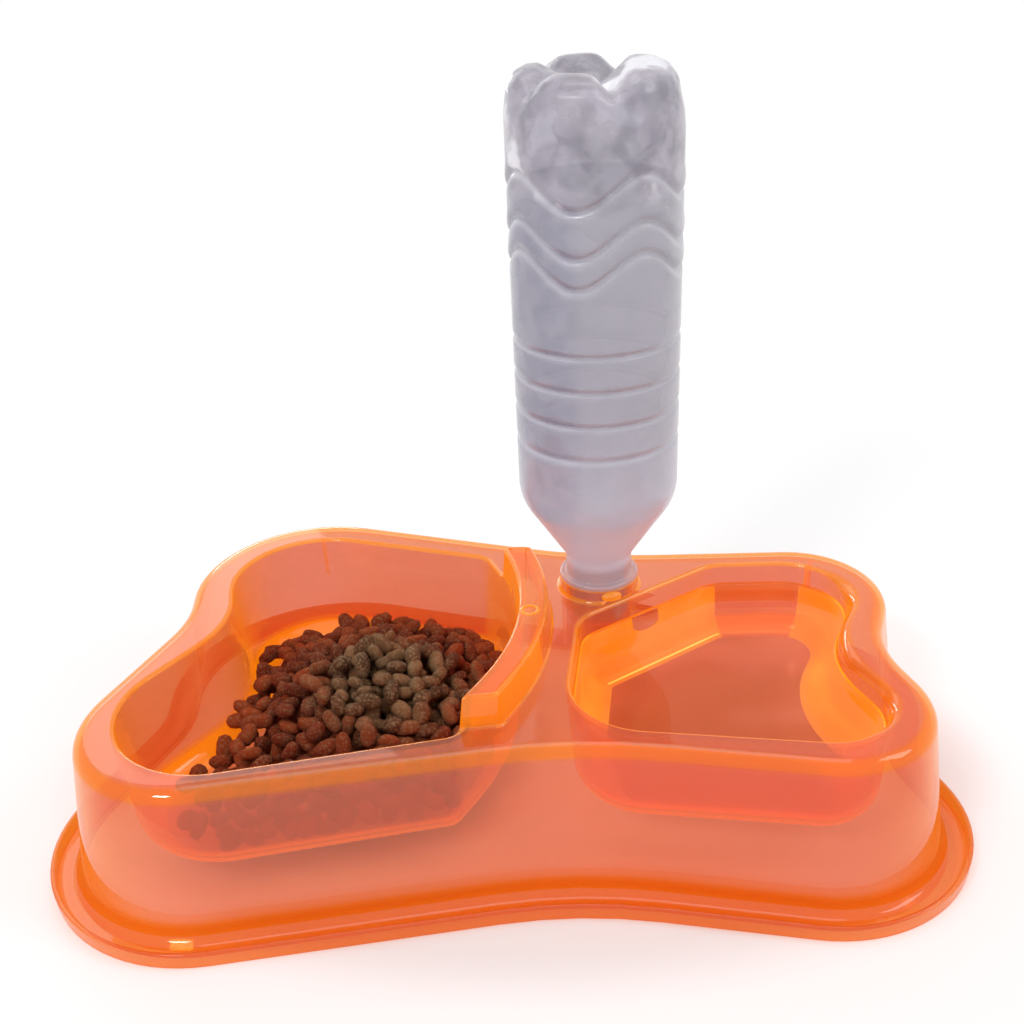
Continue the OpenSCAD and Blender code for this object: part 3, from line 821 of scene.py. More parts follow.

# %% [markdown]
# ## Orange see-through plastic
#
# Real glass shaders need many bounces in a shell with six or more walls behind each other. Each
# wall here is a tinted window with some dye in it that carries a painted glow, an emission that
# stands in for trapped light: the share of dye grows where the eye grazes the wall and where the
# wall bends. Sharp edges get amber as a painted highlight, and the foot a deeper painted shade. A
# thin clear coat mirrors the studio on top.

# %% Mix the tray's plastic
ORANGE = (0.76, 0.26, 0.012, 1.0)
SALMON = (0.70, 0.20, 0.075, 1.0)
# Painted highlight: amber laid on sharp edges.
PAINTED_EDGE_HIGHLIGHT = (1.0, 0.46, 0.04, 1.0)
# Painted glow: the three glow colours are emission standing in for light trapped in the plastic.
SALMON_GLOW = (0.54, 0.155, 0.06, 1.0)
ORANGE_GLOW = (0.80, 0.28, 0.006, 1.0)
PALE_WINDOW = (0.945, 0.735, 0.685, 1.0)
DEEP_WINDOW = (0.94, 0.64, 0.09, 1.0)
# Painted shade: the foot's window and body are deeper, for the shaded floor under the tray.
FOOT_SHADED_WINDOW = (0.93, 0.56, 0.18, 1.0)
SHADOW_WINDOW = (0.88, 0.66, 0.58, 1.0)
FOOT_SHADED_BODY = (0.66, 0.19, 0.02, 1.0)
FOOT_GLOW = (0.42, 0.10, 0.006, 1.0)


def tray_plastic():
    """Windows and dyed plastic with a painted glow. The share of dyed plastic is 0.12, and more with
    the cube of the slant, the glow and the edge. Sharp edges are painted amber as a highlight.

    The lowest centimetre, with the channel and the lip, has deeper colours: painted shade for the
    shaded floor under it, seen through more plastic."""
    paint = new_paint("tray_plastic")
    facing = paint.facing()
    bend, edge, trapped = (paint.attribute(name) for name in ("bend", "edge", "glow"))
    foot = paint.along("Z").ramp(0.011, 0.007)
    # Deeper orange at a slant is the longer way through the wall; at bends it is painted trapped light.
    deep = (facing**2.0 * 0.9 + bend * 0.9).clamp()
    # Painted shade at the foot, and a painted amber highlight on sharp edges.
    body = paint.colour(foot, paint.colour(deep, SALMON, ORANGE), FOOT_SHADED_BODY)
    body = paint.colour(edge * 0.5, body, PAINTED_EDGE_HIGHLIGHT)
    glow = paint.colour(foot, paint.colour(deep, SALMON_GLOW, ORANGE_GLOW), FOOT_GLOW)
    skin = paint.bump(paint.noise(55.0, 0.0), 0.05, 0.0006)
    window = paint.blend(deep, paint.window(PALE_WINDOW), paint.window(DEEP_WINDOW))
    window = paint.blend(foot, window, paint.window(FOOT_SHADED_WINDOW))
    share = (0.12 + facing**3.0 * 0.5 + trapped * 0.36 + edge * 0.12).clamp()
    wall = paint.blend(share, window, paint.dye_and_painted_glow(body, 0.25, glow, skin))
    return paint.done(paint.coat(wall, facing, 0.045, Normal=skin), SHADOW_WINDOW)


tray.data.materials.clear()
tray.data.materials.append(tray_plastic())
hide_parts("tray")
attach(tray, "tray")

# %% [markdown]
# ## The bottle
#
# The bottle is blown, so its wall is thin and every groove shows inside and out. It is a surface
# of revolution whose radius also changes with the angle: four plain rings low down, three waves
# higher up, and a base with five feet, which stands at the top because the bottle is upside down.

# %% Name the bottle's measures, in millimetres
BOTTLE_R, BOTTLE_H, BOTTLE_WALL = 32.2, 205.0, 0.45
NECK_R, MOUTH_R, BORE_R = 13.8, 12.5, 10.9
GROOVE_START, GROOVE_PITCH, GROOVE_DEPTH, GROOVE_W, GROOVE_COUNT = 67.0, 13.8, 1.0, 1.3, 4
WAVE_LEVELS, WAVE_SWING, WAVE_DEPTH, WAVE_W = (139.5, 150.5, 167.0), 6.0, 1.1, 1.5
SWELL_H, SWELL_W, SWELL_ABOVE = 0.35, 2.6, 4.0
CREST_DEG, BASE_TURN_DEG, FOOT_COUNT, FOOT_GAP_DEG = -57.0, -2.0, 5, 12.0
BASE_H = 22.0
# The base from its rim to its middle: how far along, then radius and height over a foot and between feet.
BASE_STOPS = [0, 0.16, 0.34, 0.46, 0.56, 0.66, 0.8, 1]
FOOT_CURVE = [32.2, 32.1, 30.8, 28.0, 24.4, 20.7, 14.0, 0.0], [-22, -15, -6.0, -2.2, -0.4, 0, -3.0, -8.5]
GAP_CURVE = [32.2, 31.7, 29.2, 26.2, 22.6, 19.2, 13.0, 0.0], [-22, -16.5, -9.5, -6.8, -6.2, -6.4, -7.4, -8.5]

# %% Draw the side of the bottle and its waves


def bottle_profile():
    """Radius and height from the neck ring's top to where the base begins."""
    corners = [
        [NECK_R, NECK_RING_T, 0],
        [NECK_R, 11.7, 5],
        [BOTTLE_R, 40.2, 22],
        [BOTTLE_R, BOTTLE_H - BASE_H, 0],
    ]
    path = rounded_path(corners, False, 3.0)
    height = np.concatenate([path[:-1, 1], np.linspace(path[-2, 1], BOTTLE_H - BASE_H, 190)[1:]])
    radius = np.interp(height, path[:, 1], path[:, 0])
    return radius, height


def wave_height(angle, level):
    """Height of a wave round the bottle: four crests a turn, with one slightly right of the front."""
    return level + WAVE_SWING * np.cos(4 * (angle - math.radians(CREST_DEG)))


def groove(distance, width):
    """A soft groove: exp(-(distance / width) squared), so 1 on its line and nearly 0 two widths away."""
    return np.exp(-((distance / width) ** 2))

# %% Add the base and turn the whole skin


def base_rings(inset, angle):
    """Radius and height of the base: the foot's curve, and the gap's between two feet.

    Between them the share of the gap's curve falls off as a bell of the angle from the gap."""
    t = np.linspace(0, 1, 40)[1:, None]
    foot_r, foot_z, gap_r, gap_z = (np.interp(t, BASE_STOPS, curve) for curve in FOOT_CURVE + GAP_CURVE)
    pitch = 2 * np.pi / FOOT_COUNT
    off = (angle - math.radians(BASE_TURN_DEG) + pitch / 2) % pitch - pitch / 2
    gap = np.exp(-np.abs(off / math.radians(FOOT_GAP_DEG)) ** 2.0)
    radius = foot_r * (1 - gap) + gap_r * gap - inset * (t < 0.9)
    height = BOTTLE_H + foot_z * (1 - gap) + gap_z * gap - inset * np.clip(t * 3 - 0.6, 0, 1)
    return np.maximum(radius, 0.0), height


def bottle_skin(inset, angle):
    """Points of the wall from the ring to the middle of the base, moved in by inset."""
    radius, height = (column[:, None] for column in bottle_profile())
    grooves = (groove(height - GROOVE_START - k * GROOVE_PITCH, GROOVE_W) for k in range(GROOVE_COUNT))
    dip = sum(grooves) * GROOVE_DEPTH
    swell = 0.0
    for level in WAVE_LEVELS:
        line = wave_height(angle, level)
        dip = dip + groove(height - line, WAVE_W) * WAVE_DEPTH
        swell = swell + groove(height - line - SWELL_ABOVE, SWELL_W) * SWELL_H
    base_r, base_z = base_rings(inset, angle)
    rings_r = np.concatenate([radius - dip + swell - inset + 0 * angle, base_r])
    rings_z = np.concatenate([height + 0 * angle, base_z]) + RING_Z
    x = SOCKET[0] + rings_r * np.cos(angle)
    y = SOCKET[1] + rings_r * np.sin(angle)
    return np.stack([x, y, rings_z], -1)

# %% Work out how the grooves catch the light


def flank_light(points_z, angle):
    """How the grooves catch the light, to be painted into the veil: +1 on the flank that looks up and -1 on
    the one that looks down.

    Each line adds -2.33 * step * exp(-step squared), where step is the height over it in widths. That
    is 0 on the line, 1 or -1 at 0.7 of a width, and nearly 0 at two."""
    height = points_z - RING_Z
    lines = [(GROOVE_START + k * GROOVE_PITCH + 0 * angle, GROOVE_W) for k in range(GROOVE_COUNT)]
    lines += [(wave_height(angle, level), 2.2) for level in WAVE_LEVELS]
    total = 0.0
    for line, width in lines:
        step = (height - line) / width
        total = total - step * np.exp(-(step**2)) * 2.33
    return total

# %% Build the bottle as one closed wall
BOTTLE_SIDES = 180
SKIN_FROM, LINING_FROM = 5.4, 9.0


def turned_rings(profile, angle):
    """Rings about the bottle's axis, with heights counted from under the neck ring."""
    return turned(profile, SOCKET, angle) + [0, 0, RING_Z]


def build_bottle():
    """One tube: up the outside to the middle of the base, and down the inside to the mouth."""
    angle = full_turn(BOTTLE_SIDES)
    neck = [
        [MOUTH_R - 1.2, -FINISH_L, 0],
        [MOUTH_R, -FINISH_L, 0.5],
        [MOUTH_R, 0, 0.3],
        [NECK_RING_R, 0, 0.7],
        [NECK_RING_R, NECK_RING_T, 0.9],
        [NECK_R, NECK_RING_T, 0.6],
        [NECK_R, 5.0, 0],
    ]
    outside = rounded_path(neck, False, 20.0)
    skin = bottle_skin(0.0, angle)
    start = int(np.argmax(skin[:, 0, 2] > RING_Z + SKIN_FROM))
    lining = bottle_skin(BOTTLE_WALL, angle)[::-1]
    stop = int(np.argmax(lining[:, 0, 2] < RING_Z + LINING_FROM))
    bore = rounded_path([[NECK_R - 1.2, 7.0, 0], [BORE_R, 3.0, 2], [BORE_R, -FINISH_L, 0]], False, 15.0)
    walls = [turned_rings(outside, angle), skin[start:-1], lining[1:stop], turned_rings(bore, angle)]
    rings = np.concatenate(walls)
    rows = len(rings)
    crown = len(outside) + len(skin[start:-1]) - 1
    middle = np.arange(crown * BOTTLE_SIDES, (crown + 1) * BOTTLE_SIDES)
    faces = np.delete(grid_faces(rows, BOTTLE_SIDES), middle, 0).tolist()
    faces += [middle.tolist(), (middle + BOTTLE_SIDES)[::-1].tolist()]
    low, high = np.arange(BOTTLE_SIDES), (rows - 1) * BOTTLE_SIDES + np.arange(BOTTLE_SIDES)
    faces += np.stack([np.roll(low, -1), low, high, np.roll(high, -1)], 1).tolist()
    made = new_object("bottle_wall", rings.reshape(-1, 3), faces)
    write_marks(made.data, "POINT", flank=flank_light(rings[..., 2], angle))
    made.data.shade_smooth()
    return made


bottle = build_bottle()
print("bottle", len(bottle.data.polygons), "faces")

# %% [markdown]
# ## Clear plastic with mist on it
#
# The bottle is a clear window with a veil of mist. The veil's colour is mixed in layers, each over
# the one before, and most of them are painted light: painted shade on the left, painted highlights
# and shade in streaks above the water, painted light and shade beside each groove, a pale painted
# sheen on the cone over the neck, and small bubbles painted as bright specks. The veil also has a
# small painted glow.

# %% Mix the bottle's clear plastic
# Painted shade: the veil is darker grey on the bottle's left, lighter on its right.
SHADED_GREY_LEFT, LIT_GREY_RIGHT = (0.43, 0.43, 0.51, 1), (0.62, 0.61, 0.62, 1)
# Painted highlights and shade: streaks of light and dark above the water.
PAINTED_SHADE_STREAK, PAINTED_SHEEN_STREAK = (0.20, 0.18, 0.22, 1), (0.50, 0.46, 0.50, 1)
# GLINT is a painted highlight; MIST is the mist's own colour.
MIST, GLINT = (0.72, 0.70, 0.74, 1), (0.95, 0.95, 0.97, 1)
# Painted highlight and painted shade on the two flanks of each groove.
FLANK_LIT, FLANK_DARK = (0.90, 0.89, 0.92, 1), (0.26, 0.26, 0.31, 1)
# Painted sheen: the pale cone stands in for soft reflections on it.
CONE_SHEEN, NECK_FRONT, NECK_SIDE = (0.74, 0.73, 0.80, 1), (0.66, 0.60, 0.62, 1), (0.36, 0.34, 0.38, 1)
# Painted glow: the veil's emission, stronger on the cone.
GLOW_SIDE, GLOW_CONE = (0.04, 0.04, 0.045, 1), (0.19, 0.20, 0.23, 1)
BOTTLE_WINDOW, BOTTLE_SHADOW = (0.93, 0.92, 0.95, 1), (0.78, 0.78, 0.80, 1)


def bottle_plastic():
    """A window, and more veil with the square of the slant, beside the grooves, low down and at the top."""
    paint = new_paint("bottle_plastic")
    facing, flank, height = paint.facing(), paint.attribute("flank"), paint.along("Z")
    above_water = height.ramp(0.228, 0.240)
    cone = height.ramp(0.165, 0.085)
    neck = height.ramp(0.080, 0.074)
    lit_right_side = (paint.along("X") - (SOCKET[0] - 7) * MM).ramp(-0.004, 0.004)
    mist = paint.noise(140.0, 4.0)
    beads = paint.cells(420.0, bottle)
    bubble_glints = paint.cells(300.0, bottle).ramp(0.2, 0.08)
    billows = paint.noise(38.0, 3.0)
    # Painted highlights: bright spots above the water.
    glints = billows.ramp(0.56, 0.64) * above_water
    skin = paint.bump(mist * 0.9 + beads * 0.12 + billows * above_water * 3.0, 0.3, 0.0006)
    # Painted highlights and shade in streaks above the water.
    painted_light_streaks = paint.colour(billows.ramp(0.38, 0.56), PAINTED_SHADE_STREAK, PAINTED_SHEEN_STREAK)
    # Painted shade on the left side.
    body = paint.colour(lit_right_side, SHADED_GREY_LEFT, LIT_GREY_RIGHT)
    layers = (
        # Painted streaks of light and shade above the water.
        (above_water * 0.9, painted_light_streaks),
        (mist.ramp(0.35, 0.65) * 0.5, MIST),
        # Painted highlight on the upper flanks and painted shade on the lower ones.
        (flank.clamp() * (0.8 - lit_right_side * 0.5), FLANK_LIT),
        ((flank * -1.0).clamp() * 0.35, FLANK_DARK),
        # Painted sheen on the cone.
        (cone * 0.8, CONE_SHEEN),
        # Painted glints, and small bubbles painted as bright specks.
        ((glints + bubble_glints * 0.35).clamp(), GLINT),
        (neck, paint.colour(facing**2.0, NECK_FRONT, NECK_SIDE)),
    )
    for amount, colour in layers:
        body = paint.colour(amount, body, colour)
    # The veil's emission is a painted glow, stronger on the cone.
    veil = paint.dye_and_painted_glow(body, 0.6, paint.colour(cone, GLOW_SIDE, GLOW_CONE), skin)
    share = 0.26 + facing**2.0 * 0.4 + flank * flank * 0.12 + cone * 0.3 - neck * 0.28
    share = (share + above_water * 0.12 + glints * 0.3).clamp()
    wall = paint.blend(share, paint.window(BOTTLE_WINDOW), veil)
    return paint.done(paint.coat(wall, facing, 0.08, Normal=skin), BOTTLE_SHADOW)


bottle.data.materials.append(bottle_plastic())
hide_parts("bottle")
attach(bottle, "bottle")

# %% [markdown]
# ## The two waters
#
# The water in the bottle fills it up to a level line a few centimetres under the base. The water
# in the bowl stands a little above the bottle's mouth, because that is what stops the flow.

# %% Fill the bottle
WATER_H, WATER_GAP = 164.0, 0.3
FILLING_SIDES = 120


def fill_bottle():
    """The bottle's inside, shrunk by a hair and cut off at the water line."""
    angle = full_turn(FILLING_SIDES)
    skin = bottle_skin(BOTTLE_WALL + WATER_GAP, angle)
    height = skin[:, 0, 2] - RING_Z
    wet = skin[(height > LINING_FROM) & (height < WATER_H - 1.0)]
    stem_r = BORE_R - WATER_GAP
    stem = rounded_path([[stem_r, -FINISH_L + 1, 0], [stem_r, 3.0, 2], [NECK_R - 1.6, 7.0, 0]], False, 15.0)
    wall_ring = wet[-1].copy()
    wall_ring[:, 2] = RING_Z + WATER_H
    inner = wall_ring.copy()
    inner[:, :2] = SOCKET + (wall_ring[:, :2] - SOCKET) * 0.93
    inner[:, 2] -= 0.8
    rings = np.concatenate([turned_rings(stem, angle), wet, wall_ring[None], inner[None]])
    made = new_object("bottle_filling", rings.reshape(-1, 3), closed_faces(len(rings), FILLING_SIDES))
    return shade(made, 50.0)


filling = fill_bottle()

# %% Fill the water bowl
POOL_Z, HAIR = 54.0, 0.15


def fill_bowl():
    """The bowl's own section, a hair inside its wall, up to the level with a small rise at the wall."""
    depth = TRAY_H - WATER_FLOOR
    wall_low = -depth * BOWL_SLOPE - HAIR
    wall_top = -(TRAY_H - POOL_Z) * BOWL_SLOPE - HAIR
    corners = [
        [wall_low - BOWL_ROOT_R - 0.5, WATER_FLOOR + HAIR, 0],
        [wall_low, WATER_FLOOR + HAIR, BOWL_ROOT_R],
        [wall_top, POOL_Z + 1.2, 0],
        [wall_top - 0.6, POOL_Z + 0.3, 0.5],
        [wall_top - 2.4, POOL_Z, 2.0],
        [wall_top - 4.0, POOL_Z, 0],
    ]
    made = loft("bowl_water", water, rounded_path(corners, False, 5.0))
    combine(made, passage("passage_water", -HAIR, POOL_Z), "UNION")
    pocket_water = [[SOCKET_R - HAIR, SOCKET_FLOOR + HAIR], [SOCKET_R - HAIR, POOL_Z]]
    combine(made, lathe("pocket_water", pocket_water, SOCKET), "UNION")
    mouth_room = [[MOUTH_R + 0.3, RING_Z - FINISH_L - 0.3], [MOUTH_R + 0.3, POOL_Z + 3]]
    combine(made, lathe("mouth_room", mouth_room, SOCKET), "DIFFERENCE")
    return shade(made, 40.0)


pool = fill_bowl()

# %% [markdown]
# ## What the water shows
#
# Seen through the front, a bowl of water is not clear: its wall mirrors the orange plastic round
# it. So the pool's faces get a painted reflection of that orange, with a painted glow, by where
# they lie. The wall, its root and the floor differ, a thin line of the root on the left is a
# painted highlight, the floor has patches of painted shade, and the back, met at a slant, stays
# paler. The water in the passage is too shallow to be tinted.

# %% Mix the waters
CLEAR_TINT = (0.99, 0.96, 0.95, 1)
WET_WINDOW = (0.96, 0.74, 0.55, 1)
# Painted reflection: the bowl's orange as the pool's wall and back show it.
REFLECTED_ORANGE = (0.92, 0.31, 0.012, 1), (0.97, 0.40, 0.03, 1)
# Painted highlight: the bright yellow line along the root.
HIGHLIGHT_LINE_COLOURS = (1.0, 0.50, 0.04, 1), (1.0, 0.66, 0.14, 1)
BACK_REFLECTED_ORANGE = (0.84, 0.25, 0.05, 1), (0.92, 0.32, 0.08, 1)
# FLOOR_PAINTED_SHADE is painted shade on the pool's floor.
FLOOR_CLEAR, FLOOR_PAINTED_SHADE = (0.96, 0.86, 0.72, 1), (0.86, 0.66, 0.36, 1)
FILLING_TINT, FILLING_HAZE = (0.84, 0.84, 0.86, 1), (0.52, 0.51, 0.55, 1)


def still_water(name, tint, share, veil):
    """A tinted window with an even share of haze."""
    paint = new_paint(name)
    haze = paint.node("ShaderNodeBsdfDiffuse", {}, {"Color": veil})
    body = paint.blend(share, paint.window(tint), haze)
    return paint.done(paint.coat(body, paint.facing(), 0.02, head_on=0.02))


def water_surface():
    """The top of the bowl's water bends what is seen through it; light for matt walls goes straight on."""
    paint = new_paint("bowl_water")
    values = {"Color": CLEAR_TINT, "IOR": 1.33, "Roughness": 0.0}
    bent = paint.node("ShaderNodeBsdfRefraction", {}, values)
    body = paint.blend(paint.ray("Shadow", "Diffuse"), bent, paint.window(CLEAR_TINT))
    return paint.done(paint.coat(body, paint.facing(), 0.02, head_on=0.02))

# %% Mix the finishes under the water


def painted_wet_reflection(name, low, high, glow, colours=REFLECTED_ORANGE):
    """Where the water touches the bowl: clear met head-on, and a painted reflection of the bowl's orange at
    a slant, with a painted glow.

    The share of orange goes from low to high as the slant goes from 0.08 to 0.42."""
    paint = new_paint(name)
    body = paint.colour(paint.noise(30.0).ramp(0.3, 0.7), *colours)
    # Painted reflection and painted glow: the orange solid and its emission.
    orange = paint.solid(body, 0.4, **{"Emission Color": body, "Emission Strength": glow})
    share = paint.facing().ramp(0.08, 0.42) * (high - low) + low
    return paint.done(paint.blend(share, paint.window(WET_WINDOW), orange))


def pool_floor():
    """The wet floor: a clear tint with random patches of painted shade, a darker tint, for where the light
    of the bowl's walls doesn't reach.
    """
    paint = new_paint("pool_floor")
    painted_shade_patches = paint.noise(22.0, 1.0).ramp(0.42, 0.62)
    return paint.done(paint.blend(painted_shade_patches, paint.window(FLOOR_CLEAR), paint.window(FLOOR_PAINTED_SHADE)))


def clear_water():
    """The water in the passage and the socket, too shallow to be tinted."""
    paint = new_paint("passage_water")
    return paint.done(paint.window((0.98, 0.96, 0.94, 1)))

# %% Give each face of the pool its finish
SURFACE, WET_WALL, ROOT, FLOOR, BRIGHT_LINE, IN_PASSAGE, BACK = range(7)


def paint_pool():
    """Gives each face of the pool its finish from where it lies and how steep it is."""
    mesh = pool.data
    normal, centre = face_directions(mesh)
    down = -normal[:, 2]
    level = normal[:, :2] / np.maximum(np.linalg.norm(normal[:, :2], axis=1, keepdims=True), 1e-6)
    finish = np.full(len(normal), WET_WALL)
    finish[down > 0.25] = ROOT
    finish[down > 0.994] = FLOOR
    left_side = water[4, :2] - water[5, :2]
    away = np.array([-left_side[1], left_side[0]]) / np.linalg.norm(left_side)
    # Painted highlight: a thin strip of the root along the left side shines.
    finish[(down > 0.94) & (down < 0.97) & (level @ away > 0.96)] = BRIGHT_LINE
    at_back = (level[:, 1] > 0.9) & (level[:, 0] > -0.25) & (level[:, 0] < 0.35)
    finish[at_back & (finish != FLOOR) & (finish != BRIGHT_LINE)] = BACK
    finish[~inside(centre[:, :2], rounded_path(grown(water, 0.3), True, 5.0))] = IN_PASSAGE
    finish[down < -0.6] = SURFACE
    mesh.polygons.foreach_set("material_index", finish.astype(np.int32))


pool.data.materials.clear()
# After the surface: painted reflections of the orange plastic, one painted highlight line, the floor.
for finish in (
    water_surface(),
    painted_wet_reflection("wet_wall_painted_reflection", 0.12, 0.85, 0.35),
    painted_wet_reflection("wet_root_painted_reflection", 0.45, 0.8, 0.35),
    pool_floor(),
    painted_wet_reflection("wet_painted_highlight_line", 0.6, 0.8, 1.1, HIGHLIGHT_LINE_COLOURS),
    clear_water(),
    painted_wet_reflection("wet_back_painted_reflection", 0.08, 0.45, 0.2, BACK_REFLECTED_ORANGE),
):
    pool.data.materials.append(finish)
paint_pool()
filling.data.materials.append(still_water("bottle_water", FILLING_TINT, 0.16, FILLING_HAZE))
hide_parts("bottle_water")
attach(filling, "bottle")
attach(pool, "tray")

# %% [markdown]
# ## The food
#
# Dry food is hundreds of separate pellets. Their centres are thrown at random into the heap's
# volume and kept where no other centre is near, which fills a space about as loosely as poured
# pellets do. One small pellet shape is then turned and scaled differently for each centre.

# %% Throw the pellets' centres
HEAP_TOP, HEAP_REACH_X, HEAP_REACH_Y = 34.0, 58.0, 64.0
HEAP_X, HEAP_Y = GUARD_X - 61, GUARD_Y + 3.2
PELLET_L, PELLET_W, PELLET_T = 10.6, 6.9, 5.2
PELLET_SPACING, LAYER_H = 6.0, 3.0
PELLET_SIDES, PELLET_ROWS = 10, 7
chance = np.random.default_rng(7)


def heap_z(x, y):
    """Height of the heap: a bell round its highest point."""
    across, along = (x - HEAP_X) / HEAP_REACH_X, (y - HEAP_Y) / HEAP_REACH_Y
    return FOOD_FLOOR + HEAP_TOP * np.exp(-(across**2) - along**2)


def throw_pellets(tries=26000):
    """Random places in the heap, each at least the spacing from those kept before.

    Each layer stays inside the bowl's outline, shrunk by the wall's draft, the root's round and
    about half a pellet."""
    low = [*(food[:, :2].min(0) - 5), FOOD_FLOOR + 3.4]
    high = [*(food[:, :2].max(0) + 5), FOOD_FLOOR + HEAP_TOP + 2]
    spots = chance.uniform(low, high, (tries, 3))
    spots = spots[spots[:, 2] < heap_z(spots[:, 0], spots[:, 1]) + 0.5]
    keep = np.zeros(len(spots), bool)
    for level in np.arange(FOOD_FLOOR, TRAY_H, LAYER_H):
        band = (spots[:, 2] >= level) & (spots[:, 2] < level + LAYER_H)
        up_from_root = min(max(level - FOOD_FLOOR, 0.0), BOWL_ROOT_R)
        root = BOWL_ROOT_R - math.sqrt(BOWL_ROOT_R**2 - (BOWL_ROOT_R - up_from_root) ** 2)
        shrink = -(TRAY_H - level) * BOWL_SLOPE - root - 4.3
        keep[band] = inside(spots[band, :2], rounded_path(grown(food, shrink), True, 8.0))
    spots = spots[keep]
    kept = np.empty((0, 3))
    for spot in spots:
        near = np.abs(kept - spot).max(1) < PELLET_SPACING
        if not near.any() or np.linalg.norm(kept[near] - spot, axis=1).min() > PELLET_SPACING:
            kept = np.vstack([kept, spot])
    return kept


centres = throw_pellets()
print("pellets", len(centres))

# %% Shape one pellet and place them all


def pellet_shape():
    """A small pillow: a ball whose sections are squared a little, by raising each sine and cosine
    to a power below 1."""
    u = full_turn(PELLET_SIDES)
    v = np.linspace(-0.5, 0.5, PELLET_ROWS)[1:-1] * np.pi

    def soft(value, power):
        return np.sign(value) * np.abs(value) ** power

    x = soft(np.cos(v), 0.75)[:, None] * soft(np.cos(u), 0.85)
    y = soft(np.cos(v), 0.75)[:, None] * soft(np.sin(u), 0.85)
    z = np.broadcast_to(soft(np.sin(v), 0.8)[:, None], x.shape)
    ball = np.stack([x, y, z], -1).reshape(-1, 3)
    ball = np.concatenate([ball, [[0, 0, -1], [0, 0, 1]]])
    rows = len(v)
    first = np.arange(PELLET_SIDES)
    last, south, north = first + (rows - 1) * PELLET_SIDES, rows * PELLET_SIDES, rows * PELLET_SIDES + 1
    faces = grid_faces(rows, PELLET_SIDES).tolist()
    faces += [[south, int(b), int(a)] for a, b in zip(first, np.roll(first, -1))]
    faces += [[north, int(a), int(b)] for a, b in zip(last, np.roll(last, -1))]
    return ball * np.array([PELLET_L, PELLET_W, PELLET_T]) / 2, faces


def turn_matrices(count):
    """Random turns: any turn about the upright axis, then small tips about the two level ones."""
    tip = chance.normal(0, 0.55, (count, 2))
    spin = chance.uniform(0, 2 * np.pi, count)
    cx, sx, cy, sy = np.cos(tip[:, 0]), np.sin(tip[:, 0]), np.cos(tip[:, 1]), np.sin(tip[:, 1])
    cz, sz = np.cos(spin), np.sin(spin)
    zero, one = np.zeros(count), np.ones(count)
    about_x = np.stack([one, zero, zero, zero, cx, -sx, zero, sx, cx], 1).reshape(-1, 3, 3)
    about_y = np.stack([cy, zero, sy, zero, one, zero, -sy, zero, cy], 1).reshape(-1, 3, 3)
    about_z = np.stack([cz, -sz, zero, sz, cz, zero, zero, zero, one], 1).reshape(-1, 3, 3)
    return about_x @ about_y @ about_z


def build_pellets(places):
    """All pellets as one mesh, with a tone and a painted orange light for each on its points.

    The painted orange light, a redness that stands in for the light that reaches the pellets through
    the orange walls, grows with the distance from the heap's top in plan plus 0.7 of the drop below
    it: 0 at 24 mm and 1 at 48 mm, with a little chance."""
    shape, faces = pellet_shape()
    count, size = len(places), len(shape)
    scale = chance.normal(1.0, 0.07, (count, 1, 3)).clip(0.82, 1.15)
    dents = chance.normal(0, 0.035, (count, size, 1))
    body = shape[None] * scale * (1 + dents)
    turned_body = np.einsum("nij,nkj->nki", turn_matrices(count), body)
    points = turned_body + places[:, None, :]
    numbers = [[k + i * size for k in face] for i in range(count) for face in faces]
    made = new_object("kibble_pellets", points.reshape(-1, 3), numbers)
    made.data.shade_smooth()
    tone = np.repeat(chance.uniform(0, 1, count), size)
    apart = np.hypot(places[:, 0] - HEAP_X - 10, places[:, 1] - HEAP_Y + 8)
    drop = FOOD_FLOOR + HEAP_TOP - places[:, 2]
    # Painted light: redder away from the heap's top and lower down, for the orange light from the walls.
    warm = np.clip((apart + 0.7 * drop - 24) / 24 + chance.normal(0, 0.12, count), 0, 1)
    write_marks(made.data, "POINT", tone=tone, warm=np.repeat(warm, size))
    return made


pellets = build_pellets(centres)

# %% Mix the food's finish
BROWN_DARK, BROWN_PALE = (0.13, 0.052, 0.020, 1), (0.38, 0.185, 0.075, 1)
# Painted light: the reds stand in for light that came through the orange walls.
ORANGE_LIT_DARK, ORANGE_LIT_PALE = (0.26, 0.032, 0.005, 1), (0.50, 0.080, 0.013, 1)
# PIT_SHADE is painted shade in the pits; dust and crumbs are the food's own colours.
DUST, PIT_SHADE, CRUMB = (0.50, 0.30, 0.15, 1), (0.045, 0.018, 0.008, 1), (0.60, 0.38, 0.20, 1)


def baked_food():
    """Brown by pellet, redder towards the walls and low in the heap as painted orange light, with painted
    shade in the pits, and dust and pale crumbs that are less on the red.
    """
    paint = new_paint("kibble")
    tone, warm = paint.attribute("tone").ramp(0.1, 0.9), paint.attribute("warm")
    grain = paint.noise(900.0, 5.0)
    crust = paint.noise(260.0, 4.0)
    pits = paint.cells(800.0, pellets)
    brown = paint.colour(tone, BROWN_DARK, BROWN_PALE)
    # Painted orange light on the pellets towards the walls.
    body = paint.colour(warm, brown, paint.colour(tone, ORANGE_LIT_DARK, ORANGE_LIT_PALE))
    body = paint.colour(crust.ramp(0.42, 0.7) * (1 - warm * 0.7) * 0.5, body, DUST)
    # Painted shade: darker in the hollows of the bump.
    body = paint.colour(pits.ramp(0.35, 0.05) * 0.5, body, PIT_SHADE)
    body = paint.colour(grain.ramp(0.50, 0.62) * (0.55 - warm * 0.25), body, CRUMB)
    skin = paint.bump(grain * 0.9 + crust * 0.7 + pits * 0.5, 0.9, 0.0012)
    return paint.done(paint.solid(body, 0.72, shine=0.2, Normal=skin))


pellets.data.materials.append(baked_food())
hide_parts("kibble")
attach(pellets, "tray")

